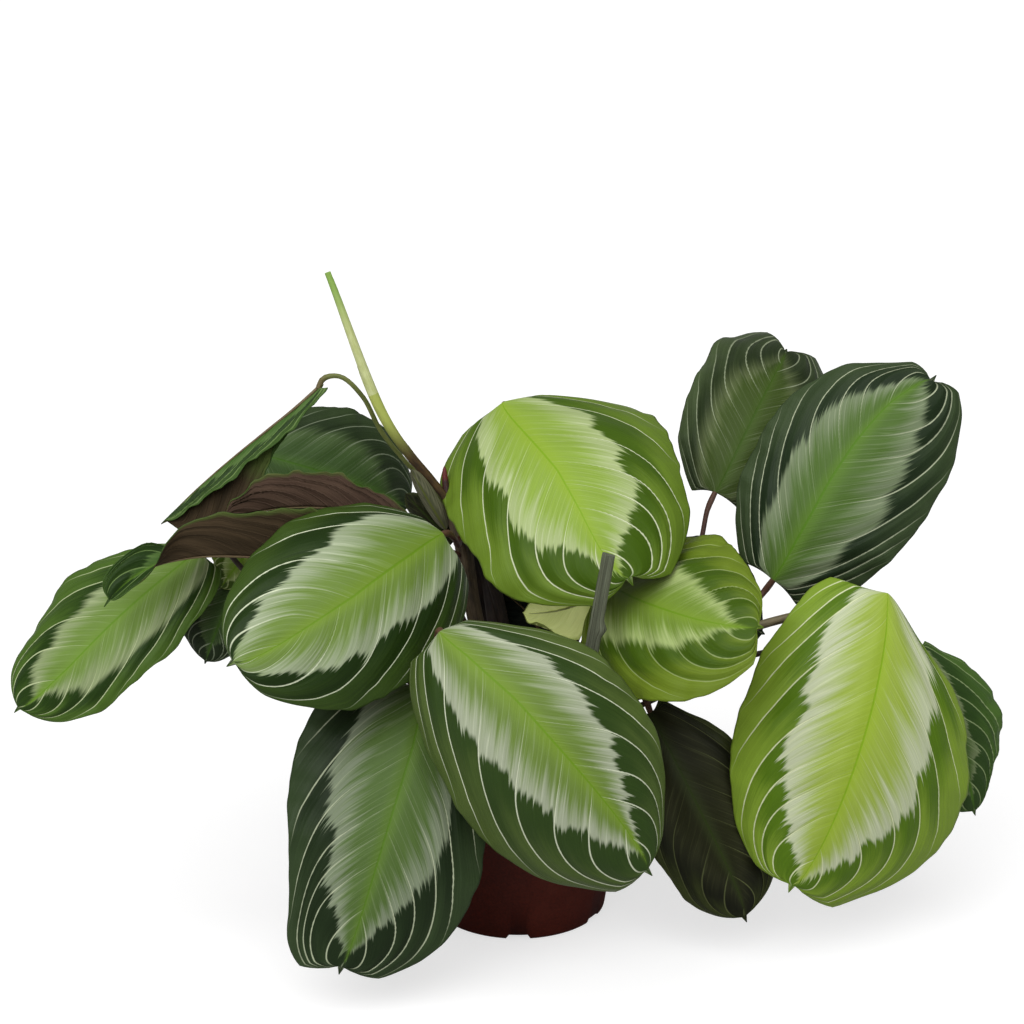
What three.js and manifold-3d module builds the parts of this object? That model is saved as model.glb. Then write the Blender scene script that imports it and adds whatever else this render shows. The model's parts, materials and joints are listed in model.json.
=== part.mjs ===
// A potted prayer plant (maranta) in a 12 cm nursery pot.
// Millimetres, +Z up, the front faces -Y. The origin is the middle of the
// pot's underside, on the surface that the pot stands on.
import * as THREE from "three";
import Module from "manifold-3d";
import { ParametricGeometry } from "three/addons/geometries/ParametricGeometry.js";
import { mergeVertices } from "three/addons/utils/BufferGeometryUtils.js";

// ---- driving dimensions -------------------------------------------------

const POT_HEIGHT = 95;
const POT_TOP_RADIUS = 60;
const POT_FOOT_RADIUS = 43;
const POT_WALL = 1.6;
const POT_FLOOR = 3.5;
const RIM_HEIGHT = 12;
const RIM_STEP = 2.2;
const POT_SEGMENTS = 36;
const NOTCHES = 6;
const NOTCH_WIDTH = 9;
const NOTCH_HEIGHT = 2.2;
const NOTCH_DEPTH = 10;

const GAP = 0.35;
const SOIL_TOP = 84;
const ROOT_RISE = 7;

const BLADE_THICKNESS = 0.9;
const BLADE_SLICES = 12;
const BLADE_STACKS = 10;

const STALK_SIDES = 6;
const STALK_STEPS = 7;
const LONG_STALK_STEPS = 10;
const STEM_SIDES = 8;
const STEM_RADIUS = 3.1;

const STAKE_WIDTH = 5.4;
const STAKE_THICKNESS = 2;
const STAKE_FOOT = [23, -44, 85];
const STAKE_TOP = [40, -74, 207];

// ---- colours ------------------------------------------------------------

const LIME = 0x8fae3c;
const LEAF_GREEN = 0x557a34;
const DARK_GREEN = 0x2f4a2a;
const PURPLE = 0x4a2f33;
const STALK_RED = 0x6a3a30;
const STALK_BROWN = 0x3a2822;
const SHEATH_BUFF = 0x9a8566;
const SHOOT_GREEN = 0xb4bf6e;
const SOIL_BROWN = 0x2b211b;
const POT_RED = 0x4a1a12;
const STAKE_GREY = 0x6b6f66;

// ---- the blades ---------------------------------------------------------

// One half of a blade, left or right of its midrib. half is its width in
// mm. fold is the angle in degrees at which it leaves the midrib, and curl
// the angle by which it bends further on its way to the margin. lobe and
// end are the shares of the length by which the margin reaches back past
// the base and on past the tip. peak moves the widest place along the
// blade, and full makes the outline blunter.
const half = (width, more = {}) => ({
  half: width, fold: -4, curl: -30, lobe: 0.07, end: 0, peak: 0.95, full: 2.3, ...more,
});

// base and tip are the ends of the midrib, and face points out of the upper
// side. rise and nod lift the midrib above the straight line between its
// ends, near the base and near the tip; sway carries it to the left.
const BLADES = {
  leaf_top_centre: {
    base: [-7, 42, 245], tip: [52, -54, 185], face: [0.1, -0.85, 0.55],
    left: half(58, { curl: -34, end: 0.08 }), right: half(66, { curl: -40, end: 0.1 }),
    rise: 8, nod: 14, colour: LIME,
    stalk: [[-26.5, 7.5, 184], [-22, 18, 189], [-18, 34, 206], [-11, 47, 228]],
    radius: 1.6, far: 6, lift: 1.5, stop: 1, onStem: true,
  },
  leaf_behind_stake: {
    base: [41, -8, 170], tip: [106, -84, 176], face: [0.25, -0.85, 0.5],
    left: half(48, { fold: 0, end: 0.08, lobe: 0.05 }), right: half(44, { fold: 0 }),
    rise: 4, nod: 6, sway: 5, colour: LIME,
    stalk: [[10, -2], [24, 6, 125], [36, 9, 155]], radius: 1.6,
  },
  leaf_front: {
    base: [-35, -92, 177], tip: [59, -124, 74], face: [0, -0.95, 0.3],
    left: half(57, { fold: -6, curl: -50, end: 0.08, full: 2.4 }),
    right: half(54, { fold: -6, curl: -50, lobe: 0.03, end: 0.02 }),
    rise: 14, nod: 10, colour: LEAF_GREEN,
    stalk: [[-8, -20], [-18, -44, 122], [-30, -74, 150], [-36, -83, 166]],
    radius: 1.8, back: 0.2, far: 5, lift: 1, stop: 1.5,
  },
  leaf_left: {
    base: [-35, -32, 203], tip: [-128, -106, 166], face: [-0.2, -0.85, 0.5],
    left: half(47, { curl: -35 }), right: half(56, { curl: -54, end: 0.03 }),
    rise: 12, nod: 8, colour: LEAF_GREEN,
    stalk: [[-27.5, 8.5, 188], [-28.5, -8, 189], [-30, -19, 196]],
    radius: 1.6, far: 6, lift: 1, onStem: true,
  },
  leaf_lower_left: {
    base: [-42, -60, 137], tip: [-81, -118, 22], face: [-0.1, -0.95, 0.2],
    left: half(45, { curl: -20, full: 3.6, end: 0.04, peak: 0.8 }),
    right: half(46, { full: 2.6, end: 0.03 }),
    rise: 10, nod: 8, colour: DARK_GREEN,
    stalk: [[-14, -16], [-28, -28, 112], [-37, -42, 134]], radius: 1.8,
  },
  leaf_far_left: {
    base: [-151, -10, 188], tip: [-236, -40, 117], face: [-0.2, -0.7, 0.7],
    left: half(37, { peak: 1.35, lobe: 0.02, end: 0.03 }), right: half(38),
    rise: 7, nod: 7, colour: LEAF_GREEN,
    stalk: [[-24, -8], [-60, -12, 128], [-105, -14, 163], [-127, -15, 177]], radius: 1.5,
  },
  leaf_folded_low: {
    base: [-85, -28, 193], tip: [-188, -60, 177], face: [-0.2, 0.1, 1],
    left: half(26, { fold: 10 }), right: half(20, { fold: 62, curl: 10, full: 3.2, peak: 0.7 }),
    rise: 2, nod: 14, colour: PURPLE,
    stalk: [[-17, -4], [-38, -8, 140], [-62, -18, 178]], radius: 1.5,
  },
  leaf_folded_mid: {
    base: [-58, -12, 201], tip: [-137, -29, 209], face: [0, 0.1, 1],
    left: half(15, { fold: 10 }), right: half(20, { fold: 62, curl: 10 }),
    rise: 5, nod: 4, colour: PURPLE,
    stalk: [[-25.5, 6, 178], [-38, 0, 186]], radius: 1.4, stop: 1, onStem: true,
  },
  leaf_folded_high: {
    base: [-94, 7, 262], tip: [-166, -22, 204], face: [-0.5, 0.35, 0.8],
    left: half(26, { fold: -70, curl: -20, peak: 1.9 }), right: half(10, { fold: -50, curl: -20 }),
    rise: 0, nod: 2, colour: LEAF_GREEN,
    stalk: [[-29.7, 9.5, 195], [-40, 16, 208], [-53, 13, 223], [-65, 10, 240], [-73, 8, 257], [-83, 7, 267]],
    radius: 1.3, far: 5, lift: -0.25, stop: 1.6, onStem: true,
  },
  leaf_rear_left: {
    base: [-122, 38, 219], tip: [-54, 64, 184], face: [-0.1, -0.8, 0.5],
    left: half(36), right: half(41, { end: 0.05 }), rise: 6, nod: 6, colour: DARK_GREEN,
    stalk: [[-14, 10], [-30, 20, 134], [-54, 40, 160], [-80, 60, 173], [-106, 63, 190], [-118, 53, 208]],
    radius: 1.5, back: 0.2, lift: 1, far: 6, stop: 1.1,
  },
  leaf_upper_right_rear: {
    base: [96, 40, 200], tip: [136, 112, 253], face: [-0.1, -0.85, 0.5],
    left: half(40), right: half(38, { end: 0.12 }), rise: 8, nod: 8, colour: DARK_GREEN,
    stalk: [[12, 15], [40, 15, 128], [70, 15, 154], [87, 25, 175]], radius: 1.4,
  },
  leaf_upper_right: {
    base: [122, 5, 167], tip: [195, 40, 257], face: [-0.1, -0.9, 0.4],
    left: half(42, { end: 0.1 }), right: half(50, { end: 0.08 }),
    rise: 8, nod: 8, colour: DARK_GREEN,
    stalk: [[22, 4], [64, 8, 122], [100, 4, 150], [113, 1, 157]], radius: 1.6,
  },
  leaf_lower_right: {
    base: [172, -28, 172], tip: [126, -70, 39], face: [0.1, -0.95, 0.3],
    left: half(54, { curl: -40, end: 0.04 }),
    right: half(70, { curl: -40, end: 0.13, lobe: 0, peak: 1.3 }),
    rise: 12, nod: 10, colour: LIME,
    stalk: [[24, -7], [66, -8, 124], [100, -9, 143], [116, -8, 149], [133, -6, 153], [153, -6, 158]],
    radius: 2.4, far: 8, lift: 2, stop: 1.6,
  },
  leaf_far_right: {
    base: [191, -2, 134], tip: [220, -24, 57], face: [0.3, -0.9, 0.3],
    left: half(30), right: half(30), rise: 6, nod: 6, colour: DARK_GREEN,
    stalk: [[18, -15], [60, -8, 108], [108, -3, 130], [135, -1, 135]], radius: 1.6,
  },
  leaf_shaded: {
    base: [62, -37, 116], tip: [108, -59, 18], face: [0, -0.95, 0.3],
    left: half(34, { lobe: 0.02 }), right: half(40, { lobe: 0.14 }),
    rise: 8, nod: 6, colour: DARK_GREEN,
    stalk: [[8, -19], [32, -26, 112], [50, -27, 124]], radius: 1.5, stop: 1.4,
  },
  leaf_small_left: {
    base: [-131, 5, 172], tip: [-150, -8, 129], face: [-0.1, -0.95, 0.3],
    left: half(16), right: half(16), rise: 4, nod: 4, colour: DARK_GREEN,
    stalk: [[-24, 8], [-58, 10, 122]], radius: 1.3,
  },
  leaf_tiny_left: {
    base: [-122, 4, 185], tip: [-141, -2, 165], face: [-0.1, -0.95, 0.3],
    left: half(12), right: half(12), rise: 4, nod: 4, colour: LEAF_GREEN,
    stalk: [[-22, 1], [-56, 0, 128], [-90, 3, 165]], radius: 1.3,
  },
  leaf_pale_centre: {
    base: [33, 0, 160], tip: [2, -13, 157], face: [-0.1, 0.95, 0.3],
    left: half(19), right: half(19), rise: -2, nod: -2, colour: SHOOT_GREEN,
    stalk: [[15, 3], [26, 4, 120], [36, 3, 148]], radius: 1.4,
  },
  leaf_dark_centre: {
    base: [13, 12, 134], tip: [-9, 20, 156], face: [0, 0.95, 0.3],
    left: half(12), right: half(12), rise: 4, nod: 4, colour: DARK_GREEN,
    stalk: [[4, 8], [8, 10, 105]], radius: 1.4,
  },
  leaf_dark_right: {
    base: [59, 22, 156], tip: [121, 24, 132], face: [0.2, -0.9, 0.4],
    left: half(24), right: half(40), rise: 4, nod: 4, colour: DARK_GREEN,
    stalk: [[20, 12], [38, 18, 125]], radius: 1.4,
  },
  leaf_back_right: {
    base: [24, 36, 166], tip: [30, 128, 132], face: [0, 0.45, 0.9],
    left: half(36), right: half(36), rise: 8, nod: 8, colour: LEAF_GREEN,
    stalk: [[4, 20], [12, 26, 125]], radius: 1.5,
  },
  leaf_back_left: {
    base: [-34, 36, 148], tip: [-72, 122, 120], face: [-0.1, 0.4, 0.9],
    left: half(36), right: half(36), rise: 8, nod: 8, colour: LEAF_GREEN,
    stalk: [[-6, 20], [-18, 27, 118]], radius: 1.5,
  },
};

// The dry sheath is a narrow blade that clings to the left stem.
const SHEATH = {
  base: [-33, 6, 193], tip: [-50, 5, 223], face: [-0.2, -0.95, 0.3],
  left: half(4.5, { fold: -10, curl: -40, lobe: 0 }),
  right: half(4.5, { fold: -10, curl: -40, lobe: 0 }),
  rise: 1, nod: 1,
};

// ---- helpers ------------------------------------------------------------

const wasm = await Module();
wasm.setup();

const vec = (list) => new THREE.Vector3(...list);
const clamp = THREE.MathUtils.clamp;
const radians = THREE.MathUtils.degToRad;

// Merges the seams of a closed surface and drops the triangles that
// collapse at its poles.
function closed(geometry) {
  geometry.deleteAttribute("normal");
  geometry.deleteAttribute("uv");
  const merged = mergeVertices(geometry, 1e-4);
  const index = merged.index.array;
  const kept = [];
  for (let i = 0; i < index.length; i += 3) {
    const [a, b, c] = [index[i], index[i + 1], index[i + 2]];
    if (a !== b && b !== c && c !== a) {
      kept.push(a, b, c);
    }
  }
  merged.setIndex(kept);
  merged.computeVertexNormals();
  return merged;
}

function toManifold(geometry) {
  const vertProperties = new Float32Array(geometry.attributes.position.array);
  const triVerts = new Uint32Array(geometry.index.array);
  return new wasm.Manifold(new wasm.Mesh({ numProp: 3, vertProperties, triVerts }));
}

function fromManifold(solid) {
  const mesh = solid.getMesh();
  const geometry = new THREE.BufferGeometry();
  geometry.setAttribute("position", new THREE.BufferAttribute(mesh.vertProperties, 3));
  geometry.setIndex(new THREE.BufferAttribute(mesh.triVerts, 1));
  geometry.computeVertexNormals();
  return geometry;
}

const group = new THREE.Group();

function addMesh(name, geometry, color, roughness) {
  const material = new THREE.MeshStandardMaterial({ color, roughness, metalness: 0 });
  const mesh = new THREE.Mesh(geometry, material);
  mesh.name = name;
  group.add(mesh);
  return mesh;
}

// The blade's own directions: along the midrib, out of the upper side, and
// towards the left half.
function bladeAxes(blade) {
  const base = vec(blade.base);
  const chord = vec(blade.tip).sub(base);
  const along = chord.clone().normalize();
  const face = vec(blade.face);
  const up = face.addScaledVector(along, -face.dot(along)).normalize();
  const left = new THREE.Vector3().crossVectors(along, up);
  return { base, chord, along, up, left };
}

// The share of the full half width at each place u along the midrib, with
// a short drip tip at the end.
function outline(u, peak, full) {
  const w = clamp(u / 0.97, 0, 1);
  const body = Math.sqrt(Math.max(1 - Math.abs(2 * w ** peak - 1) ** full, 0));
  const dripTip = u > 0.5 ? clamp((0.09 * (1 - u)) / 0.07, 0, 0.09) : 0;
  return Math.max(body, dripTip);
}

// The point at u along the blade, v across it and off above the middle of
// its thickness.
function bladePoint(blade, axes, u, v, off, target) {
  const shape = v > 0 ? blade.left : blade.right;
  const s = Math.abs(v);
  const back = shape.lobe * s ** 1.3 * (1 - u) ** 3 * clamp(u / 0.03, 0, 1);
  const on = shape.end * s ** 1.3 * u ** 3 * clamp((0.97 - u) / 0.03, 0, 1);
  const a = u - back + on;
  const midrib = (t) => {
    const rise = blade.rise * 6.75 * t * (1 - t) ** 2;
    const nod = blade.nod * 6.75 * t * t * (1 - t);
    const sway = (blade.sway ?? 0) * 4 * t * (1 - t);
    return axes.base.clone().addScaledVector(axes.chord, t)
      .addScaledVector(axes.up, rise + nod).addScaledVector(axes.left, sway);
  };
  const step = 1e-4;
  const tangent = midrib(a + step).sub(midrib(a - step)).normalize();
  const side = axes.left.clone().addScaledVector(tangent, -axes.left.dot(tangent)).normalize();
  const up = new THREE.Vector3().crossVectors(side, tangent);
  const width = shape.half * outline(u, shape.peak, shape.full);
  const fold = radians(shape.fold);
  const curl = radians(shape.curl);
  const out = (width * (Math.sin(fold + curl * s) - Math.sin(fold))) / curl;
  const lift = (width * (Math.cos(fold) - Math.cos(fold + curl * s))) / curl;
  return target.copy(midrib(a)).addScaledVector(side, Math.sign(v) * out)
    .addScaledVector(up, lift + off);
}

// A thin closed lens: the surface runs once round the blade, over its upper
// side and back under it.
function bladeGeometry(blade) {
  const axes = bladeAxes(blade);
  const wrap = (round, along, target) => {
    const angle = -2 * Math.PI * round;
    const sine = Math.abs(Math.sin(angle)) < 1e-9 ? 0 : Math.sin(angle);
    const u = (1 - Math.cos(Math.PI * along)) / 2;
    const ends = Math.min(1, 4 * Math.sqrt(Math.max(u * (1 - u), 0)));
    const off = Math.sign(sine) * Math.abs(sine) ** 0.3 * (BLADE_THICKNESS / 2) * ends;
    bladePoint(blade, axes, u, Math.cos(angle), off, target);
  };
  return closed(new ParametricGeometry(wrap, BLADE_SLICES, BLADE_STACKS));
}

// A round bar of equal thickness along a smooth curve through the points.
function bar(points, radius, sides, steps) {
  const curve = new THREE.CatmullRomCurve3(points.map(vec));
  const corners = Array.from({ length: sides }, (_, i) => {
    const angle = (2 * Math.PI * i) / sides;
    return new THREE.Vector2(radius * Math.cos(angle), radius * Math.sin(angle));
  });
  const section = new THREE.Shape(corners);
  return closed(new THREE.ExtrudeGeometry(section, {
    steps, extrudePath: curve, bevelEnabled: false,
  }));
}

// A stalk's last two points: a short joint that comes up behind the blade
// and stops just short of its base.
function stalkEnd(blade) {
  const { base, along, up } = bladeAxes(blade);
  const { back = 1, lift = 0.5, far = 9, stop = 0.7 } = blade;
  const away = along.clone().multiplyScalar(-back).addScaledVector(up, -lift).normalize();
  const at = (distance) => base.clone().addScaledVector(away, distance).toArray();
  return [at(far), at(stop)];
}

// A stalk out of the soil starts upright, just clear of its surface.
function stalkStart([x, y]) {
  return [[x, y, SOIL_TOP + GAP], [x, y, SOIL_TOP + ROOT_RISE]];
}

// ---- the pot and the soil -------------------------------------------------

const rimFoot = POT_HEIGHT - RIM_HEIGHT;
const wallTop = POT_TOP_RADIUS - RIM_STEP - 1.5;
const potProfile = [
  [0, 0],
  [POT_FOOT_RADIUS - 1.5, 0],
  [POT_FOOT_RADIUS, 1.5],
  [wallTop, rimFoot - 2],
  [POT_TOP_RADIUS - 0.7, rimFoot],
  [POT_TOP_RADIUS, POT_HEIGHT],
  [POT_TOP_RADIUS - POT_WALL, POT_HEIGHT],
  [POT_TOP_RADIUS - 0.7 - POT_WALL - 0.4, rimFoot + 1],
  [wallTop - POT_WALL, rimFoot - 2],
  [POT_FOOT_RADIUS - POT_WALL, POT_FLOOR],
  [0, POT_FLOOR],
].map(([r, z]) => new THREE.Vector2(r, z));

// Turns a profile of radius and height about +Z.
function turned(profile) {
  const geometry = new THREE.LatheGeometry(profile, POT_SEGMENTS);
  geometry.rotateX(Math.PI / 2);
  return closed(geometry);
}

// Six shallow drainage notches cut through the foot's outer edge.
let pot = toManifold(turned(potProfile));
for (let i = 0; i < NOTCHES; i += 1) {
  const notch = new THREE.BoxGeometry(NOTCH_DEPTH + 4, NOTCH_WIDTH, 2 * NOTCH_HEIGHT);
  notch.translate(POT_FOOT_RADIUS - NOTCH_DEPTH / 2 + 2, 0, 0);
  notch.rotateZ((2 * Math.PI * i) / NOTCHES - Math.PI / 2);
  pot = pot.subtract(toManifold(closed(notch)));
}
addMesh("pot", fromManifold(pot), POT_RED, 0.55);

const soilProfile = [
  [0, POT_FLOOR + GAP],
  [POT_FOOT_RADIUS - POT_WALL - 0.5, POT_FLOOR + GAP],
  [wallTop - POT_WALL - 0.5, rimFoot - 2],
  [wallTop - POT_WALL + 0.9, SOIL_TOP],
  [0, SOIL_TOP],
].map(([r, z]) => new THREE.Vector2(r, z));
addMesh("soil", turned(soilProfile), SOIL_BROWN, 0.95);

// ---- the stems, the shoot, the sheath and the stake -----------------------

const stemLeft = [
  ...stalkStart([-8, -7]), [-16, -5, 125], [-22, 2, 155], [-28, 9, 190], [-34, 10, 205],
];
const stemCentre = [...stalkStart([-4, 4]), [-9, 9, 130], [-13, 15, 160], [-16, 19, 178]];
const shoot = [[-34.4, 10, 205.8], [-41.5, 9, 216], [-52, 6, 230], [-64, 3, 251], [-88, 6, 317]];
addMesh("stem_left", bar(stemLeft, STEM_RADIUS, STEM_SIDES, 9), STALK_BROWN, 0.7);
addMesh("stem_centre", bar(stemCentre, 3.4, STEM_SIDES, 7), STALK_BROWN, 0.7);
addMesh("shoot", bar(shoot, 1.9, STEM_SIDES, 8), SHOOT_GREEN, 0.5);

// Four stalks leave the left stem from its side. Each starts on the stem's
// axis, and the stem with a little clearance is cut away from it.
const stemSocket = toManifold(bar(stemLeft, STEM_RADIUS + GAP, STEM_SIDES, 9));
const besideStem = (stalk) => fromManifold(toManifold(stalk).subtract(stemSocket));
addMesh("sheath_left", bladeGeometry(SHEATH), SHEATH_BUFF, 0.8);

const stakeAxis = vec(STAKE_TOP).sub(vec(STAKE_FOOT));
const stake = new THREE.BoxGeometry(STAKE_WIDTH, STAKE_THICKNESS, stakeAxis.length());
stake.translate(0, 0, stakeAxis.length() / 2);
const upright = new THREE.Vector3(0, 0, 1);
const tilt = new THREE.Quaternion().setFromUnitVectors(upright, stakeAxis.clone().normalize());
const stakeMesh = addMesh("stake", closed(stake), STAKE_GREY, 0.85);
stakeMesh.quaternion.copy(tilt);
stakeMesh.position.set(...STAKE_FOOT);

// ---- the leaves -------------------------------------------------------------

for (const [name, blade] of Object.entries(BLADES)) {
  addMesh(name, bladeGeometry(blade), blade.colour, 0.45);
  const [first, ...rest] = blade.stalk;
  const start = blade.onStem ? [first] : stalkStart(first);
  const points = [...start, ...rest, ...stalkEnd(blade)];
  const steps = points.length > 6 ? LONG_STALK_STEPS : STALK_STEPS;
  const stalk = bar(points, blade.radius, STALK_SIDES, steps);
  const colour = name === "leaf_lower_right" ? SHEATH_BUFF : STALK_RED;
  const seated = blade.onStem ? besideStem(stalk) : stalk;
  addMesh(name.replace("leaf_", "petiole_"), seated, colour, 0.6);
}

export default group;
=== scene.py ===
# %% [markdown]
# # A potted prayer plant
# A young maranta in a 12 cm nursery pot: broad leaves with a feathered
# silver band, thin red stalks that end in a swollen joint, papery brown
# stems, one rolled new shoot and a grey stake. The frame says where each
# piece stands and how large it is; here each one gets its fine surface.

import json
import math
import random

import bmesh
import bpy
import numpy as np
from mathutils import Matrix, Vector, noise

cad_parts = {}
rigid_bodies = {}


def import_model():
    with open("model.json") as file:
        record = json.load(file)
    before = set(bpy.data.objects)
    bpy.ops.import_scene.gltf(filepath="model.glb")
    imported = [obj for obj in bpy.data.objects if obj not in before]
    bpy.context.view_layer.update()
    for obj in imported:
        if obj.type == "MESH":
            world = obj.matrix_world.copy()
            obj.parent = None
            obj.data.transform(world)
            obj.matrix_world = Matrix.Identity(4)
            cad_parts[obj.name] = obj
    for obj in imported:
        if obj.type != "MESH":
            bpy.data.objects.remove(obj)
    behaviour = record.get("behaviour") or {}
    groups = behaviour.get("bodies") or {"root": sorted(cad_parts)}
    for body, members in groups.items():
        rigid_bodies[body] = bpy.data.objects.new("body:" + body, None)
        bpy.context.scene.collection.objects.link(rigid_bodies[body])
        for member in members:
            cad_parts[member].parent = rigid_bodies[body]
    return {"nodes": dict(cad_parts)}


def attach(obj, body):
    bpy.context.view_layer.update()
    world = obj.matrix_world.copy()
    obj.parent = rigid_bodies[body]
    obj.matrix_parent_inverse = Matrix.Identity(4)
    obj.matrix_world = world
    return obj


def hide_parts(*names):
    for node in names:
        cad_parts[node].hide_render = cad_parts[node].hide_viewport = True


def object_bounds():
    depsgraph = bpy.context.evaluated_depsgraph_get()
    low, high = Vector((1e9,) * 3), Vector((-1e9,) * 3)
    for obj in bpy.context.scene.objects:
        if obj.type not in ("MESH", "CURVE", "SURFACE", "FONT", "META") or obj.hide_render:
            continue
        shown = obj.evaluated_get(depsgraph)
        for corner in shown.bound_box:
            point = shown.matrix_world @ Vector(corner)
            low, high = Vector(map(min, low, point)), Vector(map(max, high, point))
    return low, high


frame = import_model()
cad_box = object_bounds()
scene = bpy.context.scene
MM = 0.001
print("nodes in the frame:", len(frame["nodes"]))

# %% [markdown]
# ## Camera
# The plant is seen from the front and a little above. A short lens would
# swell the front leaves and shrink the rear ones, so a long lens looks on
# from more than a metre away and keeps their true proportions.

# %% Camera
CAMERA_LENS = 90
SENSOR_WIDTH = 36
CAMERA_TILT = math.radians(18)
CAMERA_TARGET = Vector((-0.003, 0.0, 0.2028))
CAMERA_DISTANCE = 1.21

lens = bpy.data.cameras.new("camera")
lens.lens = CAMERA_LENS
lens.sensor_width = SENSOR_WIDTH
camera = bpy.data.objects.new("camera", lens)
look = Vector((0, math.cos(CAMERA_TILT), -math.sin(CAMERA_TILT)))
camera.location = CAMERA_TARGET - look * CAMERA_DISTANCE
camera.rotation_euler = (math.pi / 2 - CAMERA_TILT, 0, 0)
scene.collection.objects.link(camera)
scene.camera = camera
print("camera at", [round(c, 3) for c in camera.location])

# %% [markdown]
# ## Sky
# A white sky gives the even light of a studio tent. At full strength it would
# wash the leaves out, so a Light Path node keeps it low as a light and lets
# only the camera see it white.

# %% White sky
SKY_LIGHT = 0.26
SKY_SEEN = 1.0

world = bpy.data.worlds.new("white_tent")
world.use_nodes = True
sky_wires = world.node_tree
sky = sky_wires.nodes["Background"]
sky.inputs["Color"].default_value = (1, 1, 1, 1)
seen = sky_wires.nodes.new("ShaderNodeLightPath").outputs["Is Camera Ray"]
sky_level = sky_wires.nodes.new("ShaderNodeMapRange")
sky_level.inputs["To Min"].default_value = SKY_LIGHT
sky_level.inputs["To Max"].default_value = SKY_SEEN
sky_wires.links.new(seen, sky_level.inputs["Value"])
sky_wires.links.new(sky_level.outputs["Result"], sky.inputs["Strength"])
scene.world = world
scene.view_settings.view_transform = "Standard"
print("sky:", SKY_LIGHT, "as a light,", SKY_SEEN, "to the camera")

# %% [markdown]
# ## Lamps
# One large soft light from above gives the leaves their sheen. A sun lamp as
# wide as a tent's roof does that evenly over the whole plant. A weak softbox
# in front fills the shadows between the leaves.

# %% Lamps
OVERHEAD_STRENGTH = 2.3
OVERHEAD_WIDTH = math.radians(75)
OVERHEAD_TURN = (math.radians(30), math.radians(-8), 0)
SOFTBOX_PLACE = Vector((-0.7, -1.3, 1.1))
SOFTBOX_TARGET = Vector((0, 0, 0.15))
SOFTBOX_SIZE = 1.2
SOFTBOX_WATTS = 6

overhead = bpy.data.lights.new("overhead_tent", "SUN")
overhead.energy = OVERHEAD_STRENGTH
overhead.angle = OVERHEAD_WIDTH
softbox = bpy.data.lights.new("front_softbox", "AREA")
softbox.energy = SOFTBOX_WATTS
softbox.size = SOFTBOX_SIZE
softbox_turn = (SOFTBOX_TARGET - SOFTBOX_PLACE).to_track_quat("-Z", "Y").to_euler()
lamps = ((overhead, (0, 0, 0), OVERHEAD_TURN), (softbox, SOFTBOX_PLACE, softbox_turn))
for light, place, turn in lamps:
    lamp = bpy.data.objects.new(light.name, light)
    lamp.location = place
    lamp.rotation_euler = turn
    scene.collection.objects.link(lamp)

# %% [markdown]
# ## Colours
# A colour is read off as screen values from 0 to 255, but nodes reckon in
# linear light. `paint` turns the one into the other.

# %% Paint


def paint(red, green, blue):
    """A colour given in screen values 0 to 255, as the linear colour that nodes use."""
    def linear(value):
        c = value / 255
        return c / 12.92 if c <= 0.04045 else ((c + 0.055) / 1.055) ** 2.4
    return (linear(red), linear(green), linear(blue), 1.0)


print("a screen grey of 128 is", round(paint(128, 128, 128)[0], 3), "in linear light")

# %% [markdown]
# ## Small tools for materials
# A material is a chain of small nodes, which could be placed by hand in the
# shader editor. Here `Wires` makes a node, sets or links its inputs, and
# gives back its output, so a pattern reads like arithmetic.

# %% Node tools


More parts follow.
